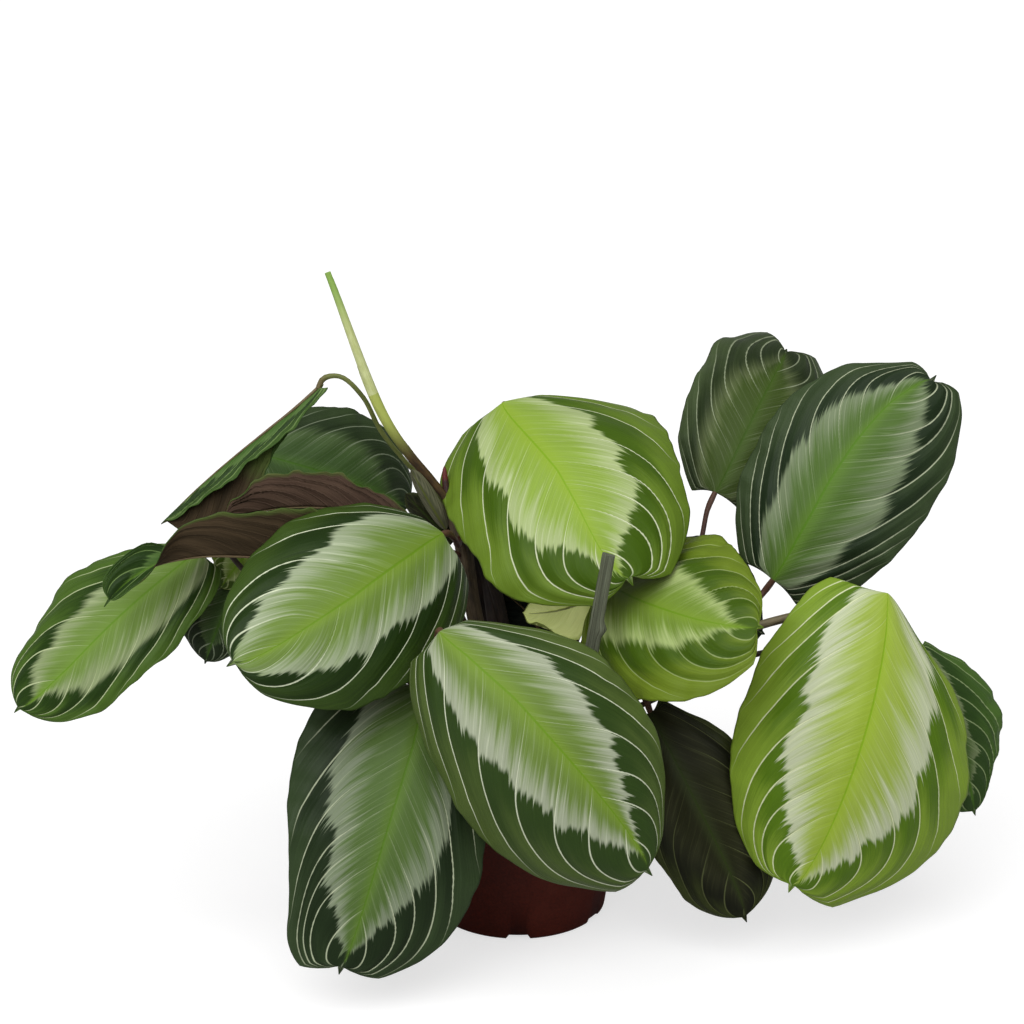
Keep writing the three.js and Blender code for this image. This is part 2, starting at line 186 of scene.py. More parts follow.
class Wires:
    """Makes and links the nodes of one tree."""

    def __init__(self, tree):
        self.tree = tree

    def put(self, socket, value):
        """Links an output to the socket, or sets the socket to a plain value."""
        if isinstance(value, bpy.types.NodeSocket):
            self.tree.links.new(value, socket)
        else:
            socket.default_value = value

    def node(self, kind, **settings):
        node = self.tree.nodes.new(kind)
        for name, value in settings.items():
            setattr(node, name, value)
        return node

    def fill(self, node, values):
        """Puts values into a node's inputs, by name or number, and gives its outputs."""
        for label, value in values.items():
            self.put(node.inputs[label], value)
        return node.outputs

    def math(self, operation, *values, clamp=False):
        node = self.node("ShaderNodeMath", operation=operation, use_clamp=clamp)
        return self.fill(node, dict(enumerate(values)))[0]

    def add(self, first, second):
        return self.math("ADD", first, second)

    def sub(self, first, second):
        return self.math("SUBTRACT", first, second)

    def mul(self, first, second):
        return self.math("MULTIPLY", first, second)

    def swing(self, value, amount):
        """A value of 0 to 1 as a swing to either side of zero."""
        return self.mul(self.sub(value, 0.5), amount)

    def step(self, value, low, high):
        """0 at low, 1 at high, smooth between them. low may be the larger one."""
        node = self.node("ShaderNodeMapRange", interpolation_type="SMOOTHSTEP")
        return self.fill(node, {"Value": value, "From Min": low, "From Max": high})["Result"]

    def mix(self, share, first, second, how="MIX"):
        """A share of the way from one colour to another."""
        node = self.node("ShaderNodeMix", data_type="RGBA", blend_type=how)
        return self.fill(node, {"Factor": share, 6: first, 7: second})[2]

    def shade(self, colour, tone):
        """The colour made darker or lighter by a tone near 1."""
        return self.mix(1.0, colour, self.vector(tone, tone, tone), how="MULTIPLY")

    def blend(self, share, first, second):
        """A share of the way from one number to another."""
        node = self.node("ShaderNodeMix", data_type="FLOAT")
        return self.fill(node, {"Factor": share, 2: first, 3: second})[0]

    def vector(self, x, y, z=0.0):
        return self.fill(self.node("ShaderNodeCombineXYZ"), {"X": x, "Y": y, "Z": z})[0]

    def parts(self, vector):
        return self.fill(self.node("ShaderNodeSeparateXYZ"), {0: vector})

    def uv(self, name):
        return self.node("ShaderNodeUVMap", uv_map=name).outputs[0]

    def object_place(self):
        return self.node("ShaderNodeTexCoord").outputs["Object"]

    def noise(self, vector, scale=1.0, detail=2.0, roughness=0.5):
        values = {"Vector": vector, "Scale": scale, "Detail": detail, "Roughness": roughness}
        return self.fill(self.node("ShaderNodeTexNoise"), values)[0]

    def dice(self, x, y):
        """A random value from 0 to 1 for each pair of numbers."""
        node = self.node("ShaderNodeTexWhiteNoise", noise_dimensions="2D")
        return self.fill(node, {"Vector": self.vector(x, y)})["Value"]

    def bump(self, height, strength, distance):
        values = {"Height": height, "Strength": strength, "Distance": distance}
        return self.fill(self.node("ShaderNodeBump"), values)[0]

    def use(self, group, **values):
        """Places a node group. An underscore stands for the space in a socket's name."""
        node = self.node("ShaderNodeGroup", node_tree=group)
        return self.fill(node, {name.replace("_", " "): values[name] for name in values})


print("node tools:", ", ".join(name for name in vars(Wires) if not name.startswith("_")))

# %% [markdown]
# ## Floor
# The plant stands on white paper that runs on behind it, so one wide grid
# face is enough. It takes the faint shadow round the pot. It glows for the
# camera only, so the paper looks white and throws no light on the leaves.

# %% Floor
FLOOR_SIZE = 16.0
FLOOR_GREY = 0.5
FLOOR_GLOW = 0.64
FLOOR_ROUGHNESS = 0.9


def new_material(name, roughness=0.5):
    """A material, the wires of its tree and the inputs of its shader."""
    material = bpy.data.materials.new(name)
    material.use_nodes = True
    shader = material.node_tree.nodes["Principled BSDF"]
    shader.inputs["Roughness"].default_value = roughness
    return material, Wires(material.node_tree), shader.inputs


floor_mesh = bpy.data.meshes.new("floor")
bm = bmesh.new()
bmesh.ops.create_grid(bm, x_segments=1, y_segments=1, size=FLOOR_SIZE / 2)
bm.to_mesh(floor_mesh)
bm.free()
floor = bpy.data.objects.new("floor", floor_mesh)
scene.collection.objects.link(floor)
floor_white, w, floor_shader = new_material("floor_white", FLOOR_ROUGHNESS)
floor_shader["Base Color"].default_value = (FLOOR_GREY, FLOOR_GREY, FLOOR_GREY, 1)
floor_shader["Specular IOR Level"].default_value = 0.0
seen = w.node("ShaderNodeLightPath").outputs["Is Camera Ray"]
glow = w.mix(seen, (0, 0, 0, 1), (FLOOR_GLOW, FLOOR_GLOW, FLOOR_GLOW, 1))
w.put(floor_shader["Emission Color"], glow)
floor_shader["Emission Strength"].default_value = 1.0
floor_mesh.materials.append(floor_white)
print("floor", FLOOR_SIZE, "m wide")

# %% [markdown]
# ## The leaf pattern
# The upper side of a real leaf is green at the midrib and silver round it. A
# feathered edge parts the silver from the dark green, and cream veins cross
# it all. A photo on the blade would carry its own light, so the pattern is
# worked out from maps instead. The map `blade` runs along the midrib. The map
# `veins` holds the number of the vein that passes each point, and how far
# out towards the margin it lies. There every vein is a straight line, so
# stripes, teeth and veins all follow the same curves. The map `band` holds
# how far out the silver reaches, and how far apart the veins are in mm. Many
# materials share the pattern, so it is a node group.

# %% Leaf pattern: group and maps
SIDE_OFFSET = 40.0
SIDE_LANE = 37.3


def new_group(name, inputs, outputs):
    """An empty node group. inputs and outputs map a socket's name to its default."""
    tree = bpy.data.node_groups.new(name, "ShaderNodeTree")
    for way, sockets in (("INPUT", inputs), ("OUTPUT", outputs)):
        for label, value in sockets.items():
            kind = "NodeSocketColor" if isinstance(value, tuple) else "NodeSocketFloat"
            socket = tree.interface.new_socket(name=label, in_out=way, socket_type=kind)
            socket.default_value = value
    wires = Wires(tree)
    return tree, wires, wires.node("NodeGroupInput").outputs, wires.node("NodeGroupOutput").inputs


def vein_inputs(w, seed):
    """The vein's number, how far out the point lies, and a random lane for each side.

    The right half's numbers are raised by SIDE_OFFSET in the map, to tell the halves apart."""
    raw, share = w.parts(w.uv("veins"))[:2]
    side = w.math("GREATER_THAN", raw, SIDE_OFFSET / 2)
    number = w.sub(raw, w.mul(side, SIDE_OFFSET))
    lane = w.add(seed, w.mul(side, SIDE_LANE))
    return number, share, lane


pattern, w, given, result = new_group(
    "leaf_pattern",
    {"Seed": 0.0, "Silver Start": 0.35, "Soft": 0.012, "Width": 55.0, "Vein Strength": 1.0,
     "Fade": 0.9, "Midrib": paint(125, 165, 45), "Inner": paint(125, 155, 60),
     "Silver": paint(160, 170, 135), "Dark": paint(50, 72, 28), "Margin": paint(76, 95, 40),
     "Vein": paint(215, 220, 190), "Rib": paint(110, 170, 40), "Rim": paint(120, 140, 70)},
    {"Color": (0.5, 0.5, 0.5, 1.0), "Height": 0.0, "Roughness": 0.5},
)
along = w.parts(w.uv("blade"))[0]
edge, spacing = w.parts(w.uv("band"))[:2]
veins = vein_inputs(w, given["Seed"])
number, share, lane = veins
between = w.math("FRACT", number)
beside = w.math("PINGPONG", number, 0.5)
chance = w.dice(w.math("FLOOR", number), lane)
print("leaf pattern inputs:", [socket.name for socket in given if socket.name])

# %% [markdown]
# ## Stripes along the veins
# A real blade is brushed with fine stripes that run beside its veins. One
# noise texture in the vein map gives them, because it is stretched along the
# veins there. Three sizes of it make fine stripes, broader strokes and
# patches, and the rest of the pattern is built from these three.

# %% Leaf pattern: stripes, strokes and patches
FINE_STRIPES = (26.0, 2.0)
BRUSH_STROKES = (7.0, 1.5)
BROAD_PATCHES = (0.9, 2.6)


def vein_noise(w, veins, grain, detail, roughness=0.5):
    """Noise along the veins. grain is how fine it is across them and along them."""
    number, share, lane = veins
    place = w.vector(w.mul(number, grain[0]), w.mul(share, grain[1]), lane)
    return w.noise(place, detail=detail, roughness=roughness)


stripes = vein_noise(w, veins, FINE_STRIPES, 4.0, 0.6)
strokes = vein_noise(w, veins, BRUSH_STROKES, 2.0)
patches = vein_noise(w, veins, BROAD_PATCHES, 3.0)
print("nodes so far:", len(pattern.nodes))

# %% [markdown]
# ## The feathered edge of the band
# The band's edge steps out after each vein and draws in before the next.
# Narrow silver spikes reach out between rounded dark lobes. A sharpened wave
# across the veins makes the spikes, and dice give each its own length.

# %% Leaf pattern: the band's edge
VEIN_STEP = 0.03
VEIN_CHANCE = 0.05
SPIKES_PER_VEIN = 6.0
SPIKE_SWAY = 2.6
SPIKE_SHARPNESS = 2.6
SPIKE_LENGTH = 0.005
PATCH_LENGTH = 0.07
LEAST_SPIKE, MOST_SPIKE = 0.2, 1.7
LOBE_SWING = 0.12
FEATHER = 0.05

edge = w.add(edge, w.mul(w.sub(0.5, between), VEIN_STEP))
edge = w.add(edge, w.swing(chance, VEIN_CHANCE))
phase = w.add(w.mul(number, SPIKES_PER_VEIN), w.mul(strokes, SPIKE_SWAY))
spike = w.sub(1.0, w.mul(w.math("PINGPONG", phase, 0.5), 2.0))
spike = w.math("POWER", spike, SPIKE_SHARPNESS)
spike_chance = w.dice(w.math("FLOOR", w.add(phase, 0.5)), lane)
teeth = w.mul(spike, w.add(SPIKE_LENGTH, w.mul(patches, PATCH_LENGTH)))
teeth = w.mul(teeth, w.blend(spike_chance, LEAST_SPIKE, MOST_SPIKE))
teeth = w.add(teeth, w.swing(strokes, LOBE_SWING))
edge = w.add(edge, teeth)
outside = w.sub(w.add(share, w.swing(stripes, FEATHER)), edge)
dark = w.step(outside, w.mul(given["Soft"], -1.0), given["Soft"])
print("nodes so far:", len(pattern.nodes))

# %% [markdown]
# ## Inside the band
# Green at the midrib turns to silver towards the band's edge, in brush
# strokes. So the distance from the midrib is first shaken by the stripes and
# strokes, and only then made a share of silver. Hair-thin pale lines run
# through the silver.

# %% Leaf pattern: the silver
STRIPE_SHAKE = 0.5
STROKE_SHAKE = 1.0
HAIRS_PER_VEIN = 5.0
HAIR_SWAY = 1.4
HAIR_WIDTH = 0.1
HAIR_IN_GREEN, HAIR_IN_SILVER = 0.1, 0.3
SILVER_TIP_FADE = (1.02, 0.85)
LEAST_SILVER_TONE, SILVER_TONES = 0.8, 0.4

inside = w.math("DIVIDE", share, w.math("MAXIMUM", edge, 0.05))
inside = w.add(inside, w.swing(stripes, STRIPE_SHAKE))
inside = w.add(inside, w.swing(strokes, STROKE_SHAKE))
silver = w.step(inside, given["Silver Start"], 1.0)
silver = w.mul(silver, w.step(along, *SILVER_TIP_FADE))
hairs = w.add(w.mul(number, HAIRS_PER_VEIN), w.mul(strokes, HAIR_SWAY))
hairs = w.step(w.math("PINGPONG", hairs, 0.5), HAIR_WIDTH, 0.0)
hairs = w.mul(hairs, w.blend(silver, HAIR_IN_GREEN, HAIR_IN_SILVER))
colour = w.mix(silver, given["Inner"], given["Silver"])
colour = w.shade(colour, w.add(LEAST_SILVER_TONE, w.mul(stripes, SILVER_TONES)))
colour = w.mix(hairs, colour, given["Vein"])
print("nodes so far:", len(pattern.nodes))

# %% [markdown]
# ## Beyond the band
# The dark green beyond the band lightens towards the margin, unevenly and a
# little more just before each vein. The same three noises shake this change,
# so that it doesn't look airbrushed.

# %% Leaf pattern: the dark green
PATCH_SHIFT, STROKE_SHIFT, STEP_SHIFT = 0.9, 0.35, 0.3
MARGIN_FROM = 0.12
LEAST_DARK_TONE, DARK_TONES = 0.78, 0.44

outward = w.math("DIVIDE", outside, w.math("MAXIMUM", w.sub(1.0, edge), 0.1))
shifts = ((patches, PATCH_SHIFT), (strokes, STROKE_SHIFT), (between, STEP_SHIFT))
for unevenness, amount in shifts:
    outward = w.add(outward, w.swing(unevenness, amount))
deep = w.mix(w.step(outward, MARGIN_FROM, given["Fade"]), given["Dark"], given["Margin"])
deep = w.shade(deep, w.add(LEAST_DARK_TONE, w.mul(stripes, DARK_TONES)))
colour = w.mix(dark, colour, deep)
print("nodes so far:", len(pattern.nodes))

# %% [markdown]
# ## Side veins
# The cream side veins are thin and faint in the silver and clear beyond it,
# and they die out at the margin and the tip. Their width is kept in mm, so
# they look the same on a large leaf as on a small one.

# %% Leaf pattern: the side veins
VEIN_WIDTH_INSIDE, VEIN_WIDTH_OUTSIDE = 0.06, 0.2
VEIN_BLUR = (0.24, -0.1)
VEIN_FAINTEST = 0.75
VEIN_IN_SILVER = 0.35
THIN_INSIDE, FAINT_INSIDE = (-0.25, 0.05), (-0.3, 0.02)
THIN_AT_MARGIN, FAINT_AT_MARGIN = (1.02, 0.8), (1.02, 0.82)
FAINT_AT_TIP = (1.0, 0.93)

distance = w.mul(beside, spacing)
wide = w.blend(w.step(outside, *THIN_INSIDE), VEIN_WIDTH_INSIDE, VEIN_WIDTH_OUTSIDE)
wide = w.mul(wide, w.step(share, *THIN_AT_MARGIN))
vein = w.step(w.sub(distance, wide), *VEIN_BLUR)
vein = w.mul(vein, w.step(share, *FAINT_AT_MARGIN))
vein = w.mul(vein, w.blend(chance, VEIN_FAINTEST, 1.0))
vein = w.mul(vein, w.step(along, *FAINT_AT_TIP))
vein = w.mul(vein, w.blend(w.step(outside, *FAINT_INSIDE), VEIN_IN_SILVER, 1.0))
vein = w.math("MULTIPLY", vein, given["Vein Strength"], clamp=True)
colour = w.mix(vein, colour, given["Vein"])
print("nodes so far:", len(pattern.nodes))

# %% [markdown]
# ## Midrib and rim
# The midrib is one fine bright line with a soft green glow beside it, and
# the margin has a thin pale rim. Both are drawn at a width in mm, from the
# leaf's own half width.

# %% Leaf pattern: the midrib and the rim
RIB_AT_BASE, RIB_AT_TIP = 0.55, 0.12
RIB_BLUR = (0.4, -0.2)
RIB_STRENGTH = 0.9
RIB_TIP_FADE, GLOW_TIP_FADE = (1.0, 0.92), (0.98, 0.88)
GLOW_AT_BASE, GLOW_AT_TIP = 0.2, 0.07
GLOW_STRENGTH = 0.65
RIM_BLUR = (0.7, 0.2)
RIM_STRENGTH = 0.7

rib_distance = w.mul(share, given["Width"])
rib_wide = w.blend(along, RIB_AT_BASE, RIB_AT_TIP)
rib = w.step(w.sub(rib_distance, rib_wide), *RIB_BLUR)
rib = w.mul(rib, w.step(along, *RIB_TIP_FADE))
glow = w.mul(w.step(share, w.blend(along, GLOW_AT_BASE, GLOW_AT_TIP), 0.0), GLOW_STRENGTH)
glow = w.mul(glow, w.step(along, *GLOW_TIP_FADE))
colour = w.mix(glow, colour, given["Midrib"])
colour = w.mix(w.mul(rib, RIB_STRENGTH), colour, given["Rib"])
rim_distance = w.mul(w.sub(1.0, share), given["Width"])
rim = w.step(rim_distance, *RIM_BLUR)
colour = w.mix(w.mul(rim, RIM_STRENGTH), colour, given["Rim"])
print("nodes so far:", len(pattern.nodes))

# %% [markdown]
# ## Relief and sheen
# The stripes stand up a little, the veins and the midrib lie a little deeper,
# and the dark part is the glossier one. The group gives these out as a height
# and a roughness, for the Bump node and the shader in each leaf's material.

# %% Leaf pattern: relief and outputs
ROUGH_SILVER, ROUGH_DARK = 0.48, 0.4
STRIPE_RELIEF, STROKE_RELIEF = 0.5, 0.8
VEIN_DEPTH, RIB_DEPTH = 0.5, 0.2

relief = w.add(w.mul(stripes, STRIPE_RELIEF), w.mul(strokes, STROKE_RELIEF))
relief = w.sub(relief, w.mul(vein, VEIN_DEPTH))
relief = w.sub(relief, w.mul(rib, RIB_DEPTH))
w.put(result["Color"], colour)
w.put(result["Height"], relief)
w.put(result["Roughness"], w.blend(dark, ROUGH_SILVER, ROUGH_DARK))
print("leaf pattern:", len(pattern.nodes), "nodes")

# %% [markdown]
# ## The underside
# Under the blade the colour is a matt purple-brown, paler where the leaf is
# young. The side veins show as fine ridges, and green comes round the rim.
# It reads the same maps as the upper side, so its ridges lie on the veins.

# %% Underside group
UNDER_STRIPES = (22.0, 2.2)
UNDER_PATCHES = (1.7, 1.6)
RIDGES_PER_VEIN = 2.0
RIDGE_WIDTH = 0.1
RIDGE_STRENGTH = 0.35
UNDER_RIM_BLUR = (2.4, 0.4)
UNDER_RIM_STRENGTH = 0.7
LIGHT_RANGE = (0.35, 1.45)
GREEN_BLUR, GREEN_STRENGTH = (-0.06, 0.12), 0.85

underside, w, given, result = new_group(
    "leaf_underside",
    {"Seed": 0.0, "Width": 55.0, "Green Base": 0.0, "Base": paint(84, 58, 52),
     "Light": paint(120, 96, 84), "Rim": paint(92, 112, 56)},
    {"Color": (0.5, 0.5, 0.5, 1.0), "Height": 0.0},
)
along = w.parts(w.uv("blade"))[0]
veins = vein_inputs(w, given["Seed"])
number, share, lane = veins
stripes = vein_noise(w, veins, UNDER_STRIPES, 4.0, 0.65)
broad = vein_noise(w, veins, UNDER_PATCHES, 3.0)
ridge = w.step(w.math("PINGPONG", w.mul(number, RIDGES_PER_VEIN), 0.5), RIDGE_WIDTH, 0.0)
tone = w.step(w.add(w.mul(stripes, 0.9), w.mul(broad, 0.9)), *LIGHT_RANGE)
colour = w.mix(tone, given["Base"], given["Light"])
colour = w.mix(w.mul(ridge, RIDGE_STRENGTH), colour, given["Light"])
rim_distance = w.mul(w.sub(1.0, share), given["Width"])
rim = w.mul(w.step(rim_distance, *UNDER_RIM_BLUR), UNDER_RIM_STRENGTH)

# Green may also run up the blade from its base, as far as Green Base says.
young = w.add(w.mul(along, -1.0), w.mul(broad, 0.15))
young = w.step(w.add(young, given["Green Base"]), *GREEN_BLUR)
colour = w.mix(w.math("MAXIMUM", rim, w.mul(young, GREEN_STRENGTH)), colour, given["Rim"])
w.put(result["Color"], colour)
w.put(result["Height"], w.add(ridge, w.mul(stripes, 0.4)))
print("underside:", len(underside.nodes), "nodes")

# %% [markdown]
# ## Leaf colours
# Young leaves are lime green, and they darken as they age. Each leaf could
# have colours of its own, but leaves of one age look alike, so a palette
# names the colours of one age and light, and leaves share it. The darker
# palettes hold painted shade: shade wholly, and deep, dusk and gloom in part,
# for leaves that hang low, behind or under others.

# %% Palettes
PALETTES = {
    "lime": dict(midrib=(144, 174, 48), inner=(140, 168, 66), silver=(170, 186, 128),
                 dark=(64, 92, 12), margin=(102, 128, 38), vein=(226, 232, 196)),
    "bright": dict(midrib=(122, 152, 46), inner=(116, 143, 54), silver=(160, 178, 112),
                   dark=(64, 90, 14), margin=(106, 127, 34), vein=(190, 204, 142)),
    "yellow": dict(midrib=(148, 176, 42), inner=(154, 176, 72), silver=(192, 200, 166),
                   dark=(82, 114, 20), margin=(126, 154, 48), vein=(228, 234, 190)),
    "fresh": dict(midrib=(118, 148, 42), inner=(106, 130, 58), silver=(166, 174, 148),
                  dark=(47, 68, 25), margin=(82, 100, 46), vein=(222, 228, 200)),
    "green": dict(midrib=(118, 148, 42), inner=(108, 134, 58), silver=(156, 168, 136),
                  dark=(30, 50, 12), margin=(58, 80, 28), vein=(220, 228, 196)),
    "leafy": dict(midrib=(112, 146, 50), inner=(108, 136, 60), silver=(140, 154, 110),
                  dark=(34, 57, 12), margin=(72, 100, 34), vein=(196, 208, 160)),
    # deep, gloom and dusk are darkened in part by painted shade.
    "deep": dict(midrib=(92, 122, 42), inner=(80, 104, 50), silver=(124, 135, 110),
                 dark=(28, 42, 20), margin=(50, 66, 38), vein=(188, 196, 164)),
    "gloom": dict(midrib=(66, 90, 28), inner=(60, 78, 28), silver=(94, 106, 66),
                  dark=(34, 47, 20), margin=(70, 85, 52), vein=(162, 172, 140)),
    "slate": dict(midrib=(94, 130, 40), inner=(80, 108, 46), silver=(120, 134, 102),
                  dark=(30, 45, 24), margin=(58, 74, 44), vein=(186, 194, 162)),
    "moss": dict(midrib=(76, 112, 36), inner=(66, 94, 38), silver=(108, 122, 84),
                 dark=(44, 68, 26), margin=(72, 102, 42), vein=(150, 168, 118)),
    "dusk": dict(midrib=(76, 108, 44), inner=(60, 84, 40), silver=(72, 92, 52),
                 dark=(37, 51, 27), margin=(50, 66, 36), vein=(150, 162, 134)),
    # shade: painted shade, the colours of leaves and sheaths that lie in shadow.
    "shade": dict(midrib=(52, 62, 28), inner=(36, 38, 16), silver=(50, 52, 30),
                  dark=(22, 24, 10), margin=(58, 66, 28), vein=(92, 98, 60)),
    "fold": dict(midrib=(92, 124, 40), inner=(60, 92, 34), silver=(80, 108, 52),
                 dark=(36, 58, 20), margin=(62, 90, 34), vein=(120, 146, 84)),
    "pale": dict(midrib=(176, 188, 104), inner=(178, 190, 112), silver=(188, 198, 126),
                 dark=(172, 184, 104), margin=(150, 164, 84), vein=(200, 208, 148)),
    "dry": dict(midrib=(104, 104, 72), inner=(84, 86, 64), silver=(122, 122, 96),
                dark=(60, 62, 44), margin=(100, 100, 74), vein=(150, 148, 118)),
}
UNDERSIDES = {
    "purple": dict(base=(66, 49, 41), light=(126, 102, 86), rim=(88, 108, 50)),
    "young": dict(base=(198, 210, 124), light=(226, 234, 160), rim=(160, 178, 88)),
    "umber": dict(base=(38, 31, 19), light=(92, 76, 56), rim=(88, 108, 50)),
    # dark: a near-black underside, painted shade for the leaf in the middle of the plant.
    "dark": dict(base=(14, 18, 14), light=(46, 54, 44), rim=(40, 50, 34)),
    "dry": dict(base=(66, 64, 46), light=(108, 104, 78), rim=(104, 98, 64)),
}
print("palettes:", ", ".join(PALETTES))

# %% [markdown]
# ## Leaf materials
# The upper side has the pattern and the underside has its own group. Each
# leaf gets its own pair of materials, because its band and its vein spacing
# are its own. A young blade is so thin that light comes through it. Its
# underside gets a faint painted glow for that, which also lifts it out of the
# shade it hangs in, and costs less than true translucency.

# %% Leaf materials
LEAF_RELIEF = 0.0005
UPPER_BUMP, UNDER_BUMP = 0.7, 0.6
UPPER_GLOSS = 0.14
UNDER_GLOSS = 0.1
UNDER_ROUGHNESS = 0.65
YOUNG_GLOW = 0.25
RIB_TINT = (0.86, 0.94, 0.6)
RIM_TINT, RIM_LIFT = 0.9, 8


def upper_material(name, palette, seed, width, start=0.34, soft=0.022, vein=1.0, fade=0.9):
    """The patterned upper side of one leaf."""
    material, w, shader = new_material(name + "_upper")
    colours = PALETTES[palette]
    paints = {label.capitalize(): paint(*colour) for label, colour in colours.items()}
    rib = [c * k for c, k in zip(colours["midrib"], RIB_TINT)]
    rim = [c * RIM_TINT + RIM_LIFT for c in colours["margin"]]
    out = w.use(pattern, Seed=seed, Silver_Start=start, Soft=soft, Width=width,
                Vein_Strength=vein, Fade=fade, Rib=paint(*rib), Rim=paint(*rim), **paints)
    w.put(shader["Base Color"], out["Color"])
    w.put(shader["Roughness"], out["Roughness"])
    w.put(shader["Normal"], w.bump(out["Height"], UPPER_BUMP, LEAF_RELIEF))
    shader["Specular IOR Level"].default_value = UPPER_GLOSS
    return material


def lower_material(name, under, seed, width, green_base=0.0):
    """The matt underside of one leaf."""
    material, w, shader = new_material(name + "_lower", UNDER_ROUGHNESS)
    paints = {label.capitalize(): paint(*colour) for label, colour in UNDERSIDES[under].items()}
    out = w.use(underside, Seed=seed, Width=width, Green_Base=green_base, **paints)
    w.put(shader["Base Color"], out["Color"])
    w.put(shader["Normal"], w.bump(out["Height"], UNDER_BUMP, LEAF_RELIEF))
    shader["Specular IOR Level"].default_value = UNDER_GLOSS
    if under == "young":
        # Painted glow: the young underside gives off a little of its own colour, for light shining
        # through the thin blade and to lift it out of shade.
        w.put(shader["Emission Color"], out["Color"])
        shader["Emission Strength"].default_value = YOUNG_GLOW
    return material


def leaf_materials(name, palette, under, seed, width, green_base=0.0, **look):
    """The upper and the lower material of one leaf. look holds what upper_material takes."""
    return (upper_material(name, palette, seed, width, **look),
            lower_material(name, under, seed, width, green_base))


print("a rib is tinted by", RIB_TINT, "from the midrib's colour")

# %% [markdown]
# ## The plan of a blade
# A real blade is two unlike halves on either side of its midrib. One curved
# sheet for all leaves would look cloned, so each leaf gets a plan instead:
# where its midrib starts and ends, which way it faces, and an outline, veins
# and a band for each half, as they were seen on the real leaf.

# %% Blade plans
BLADE_THICKNESS = 0.00042
VEINS = (-0.3, -0.1, 0.1, 0.3, 0.47, 0.6)
BAND = ((-0.1, 0.54), (0.1, 0.53), (0.3, 0.5), (0.45, 0.45), (0.6, 0.3), (0.72, 0.16), (0.86, 0.03))
EVEN = ((0, 1), (1, 1))


def half(width, fold=-4, curl=-30, lobe=0.07, end=0.0, peak=0.95, full=2.3, veins=VEINS,
         band=BAND, trim=EVEN):
    """One half of a blade: width in mm, fold and curl in degrees, the rest as shares.

    lobe is how far the half reaches back at the base, and end how far on at
    the tip. peak moves its widest place, and full makes it boxier. veins are
    the places along the midrib where the side veins start, band says how far
    out the silver reaches on the vein that starts at each place, and trim
    corrects the outline at a few places along the midrib."""
    return dict(width=width, fold=fold, curl=curl, lobe=lobe, end=end, peak=peak, full=full,
                veins=veins, band=band, trim=trim)


def blade_plan(base, tip, face, left, right, rise=4, nod=4, sway=0, seed=1,
               midline=((0, 0), (1, 0)), sweep=0.0, puff=0.6, wave=1.4, groove=0.5,
               twist=0, twist_from=(0.6, 0.9)):
    """All that the shape of one blade needs, by name, with lengths in mm.

    The midrib bows up by rise near its base and by nod near its tip, and by
    sway to the left. midline moves it off the blade's centre line, as shares
    of the half width. sweep turns the veins towards the tip, puff and groove
    shape the surface, wave is for the margin, and twist turns the blade's end."""
    return dict(locals())


print("a half blade is described by", ", ".join(half(40)))

# %% [markdown]
# ## The midrib
# The midrib runs from the base to the tip and nods a little. A chain of
# points could be bent by hand, but one cubic bump near the base and another
# near the tip, added to a straight line, give every leaf a bow of its own.

# %% Midrib
CUBIC_PEAK = 6.75  # brings a * a * (1 - a) to a height of 1
ARCH_PEAK = 4  # brings a * (1 - a) to a height of 1


def unit(vectors):
    return vectors / np.linalg.norm(vectors, axis=-1, keepdims=True)


def leaf_axes(leaf):
    """The base, the line to the tip, and the forward, upward and left directions."""
    base, tip, face = (np.array(leaf[k], float) for k in ("base", "tip", "face"))
    chord = tip - base
    forward = unit(chord)
    up = unit(face - (face @ forward) * forward)
    return base, chord, forward, up, np.cross(forward, up)


def midrib_points(leaf, a):
    """Points of the midrib at the shares a of its length."""
    base, chord, _, up, left = leaf_axes(leaf)
    rise = leaf["rise"] * CUBIC_PEAK * a * (1 - a) ** 2
    nod = leaf["nod"] * CUBIC_PEAK * a * a * (1 - a)
    sway = leaf["sway"] * ARCH_PEAK * a * (1 - a)
    return base + a[..., None] * chord + (rise + nod)[..., None] * up + sway[..., None] * left


level_leaf = blade_plan((0, 0, 0), (100, 0, 0), (0, 0, 1), half(40), half(40))
middle_height = midrib_points(level_leaf, np.array([0.5]))[0, 2]
print("a midrib 100 mm long bows up", round(float(middle_height), 1), "mm in the middle")

# %% [markdown]
# ## The outline
# A maranta blade is a full oval with a short drip tip. A formula gives the
# oval, and the trim of each half, read as a polyline with rounded corners,
# corrects it. Sines of random phase make the margin wavy.

# %% Outline
BODY_END = 0.97
DRIP_LENGTH, DRIP_WIDTH = 0.04, 0.05
CORNER_STEPS = (-0.06, -0.03, 0, 0.03, 0.06)


def outline(u, peak, full):
    """The share of the full half width at each place along the midrib."""
    body = 1 - np.abs(2 * np.clip(u / BODY_END, 0, 1) ** peak - 1) ** full
    drip_tip = np.clip(DRIP_WIDTH * (1 - u) / DRIP_LENGTH, 0, DRIP_WIDTH) * (u > 0.5)
    return np.maximum(np.sqrt(np.clip(body, 0, 1)), drip_tip)


def waves(rng, u, beats):
    """A few sines of random phase along the margin."""
    total = np.zeros_like(u)
    for beat, strength in beats:
        total += strength * np.sin(2 * np.pi * (beat * u + rng.random()))
    return total


def smooth(x, low, high):
    """0 below low, 1 above high, smooth between them."""
    t = np.clip((x - low) / (high - low), 0, 1)
    return t * t * (3 - 2 * t)


def along_polyline(points, x):
    xs, ys = zip(*points)
    return np.interp(x, xs, ys)


def rounded_polyline(points, x):
    """The polyline with its corners rounded off."""
    return sum(along_polyline(points, x + step) for step in CORNER_STEPS) / len(CORNER_STEPS)


oval = outline(np.linspace(0, 1, 5), 0.95, 2.3)
print("the oval at its quarters:", [round(float(share), 2) for share in oval])

# %% [markdown]
# ## The course of the veins
# A side vein leaves the midrib at a slant and bends to the tip as it nears
# the margin. The formula runs the other way: it says where on the midrib the
# vein through any point starts. The places of the real veins then turn that
# into a number, so the pattern needs no curve of its own for each vein.

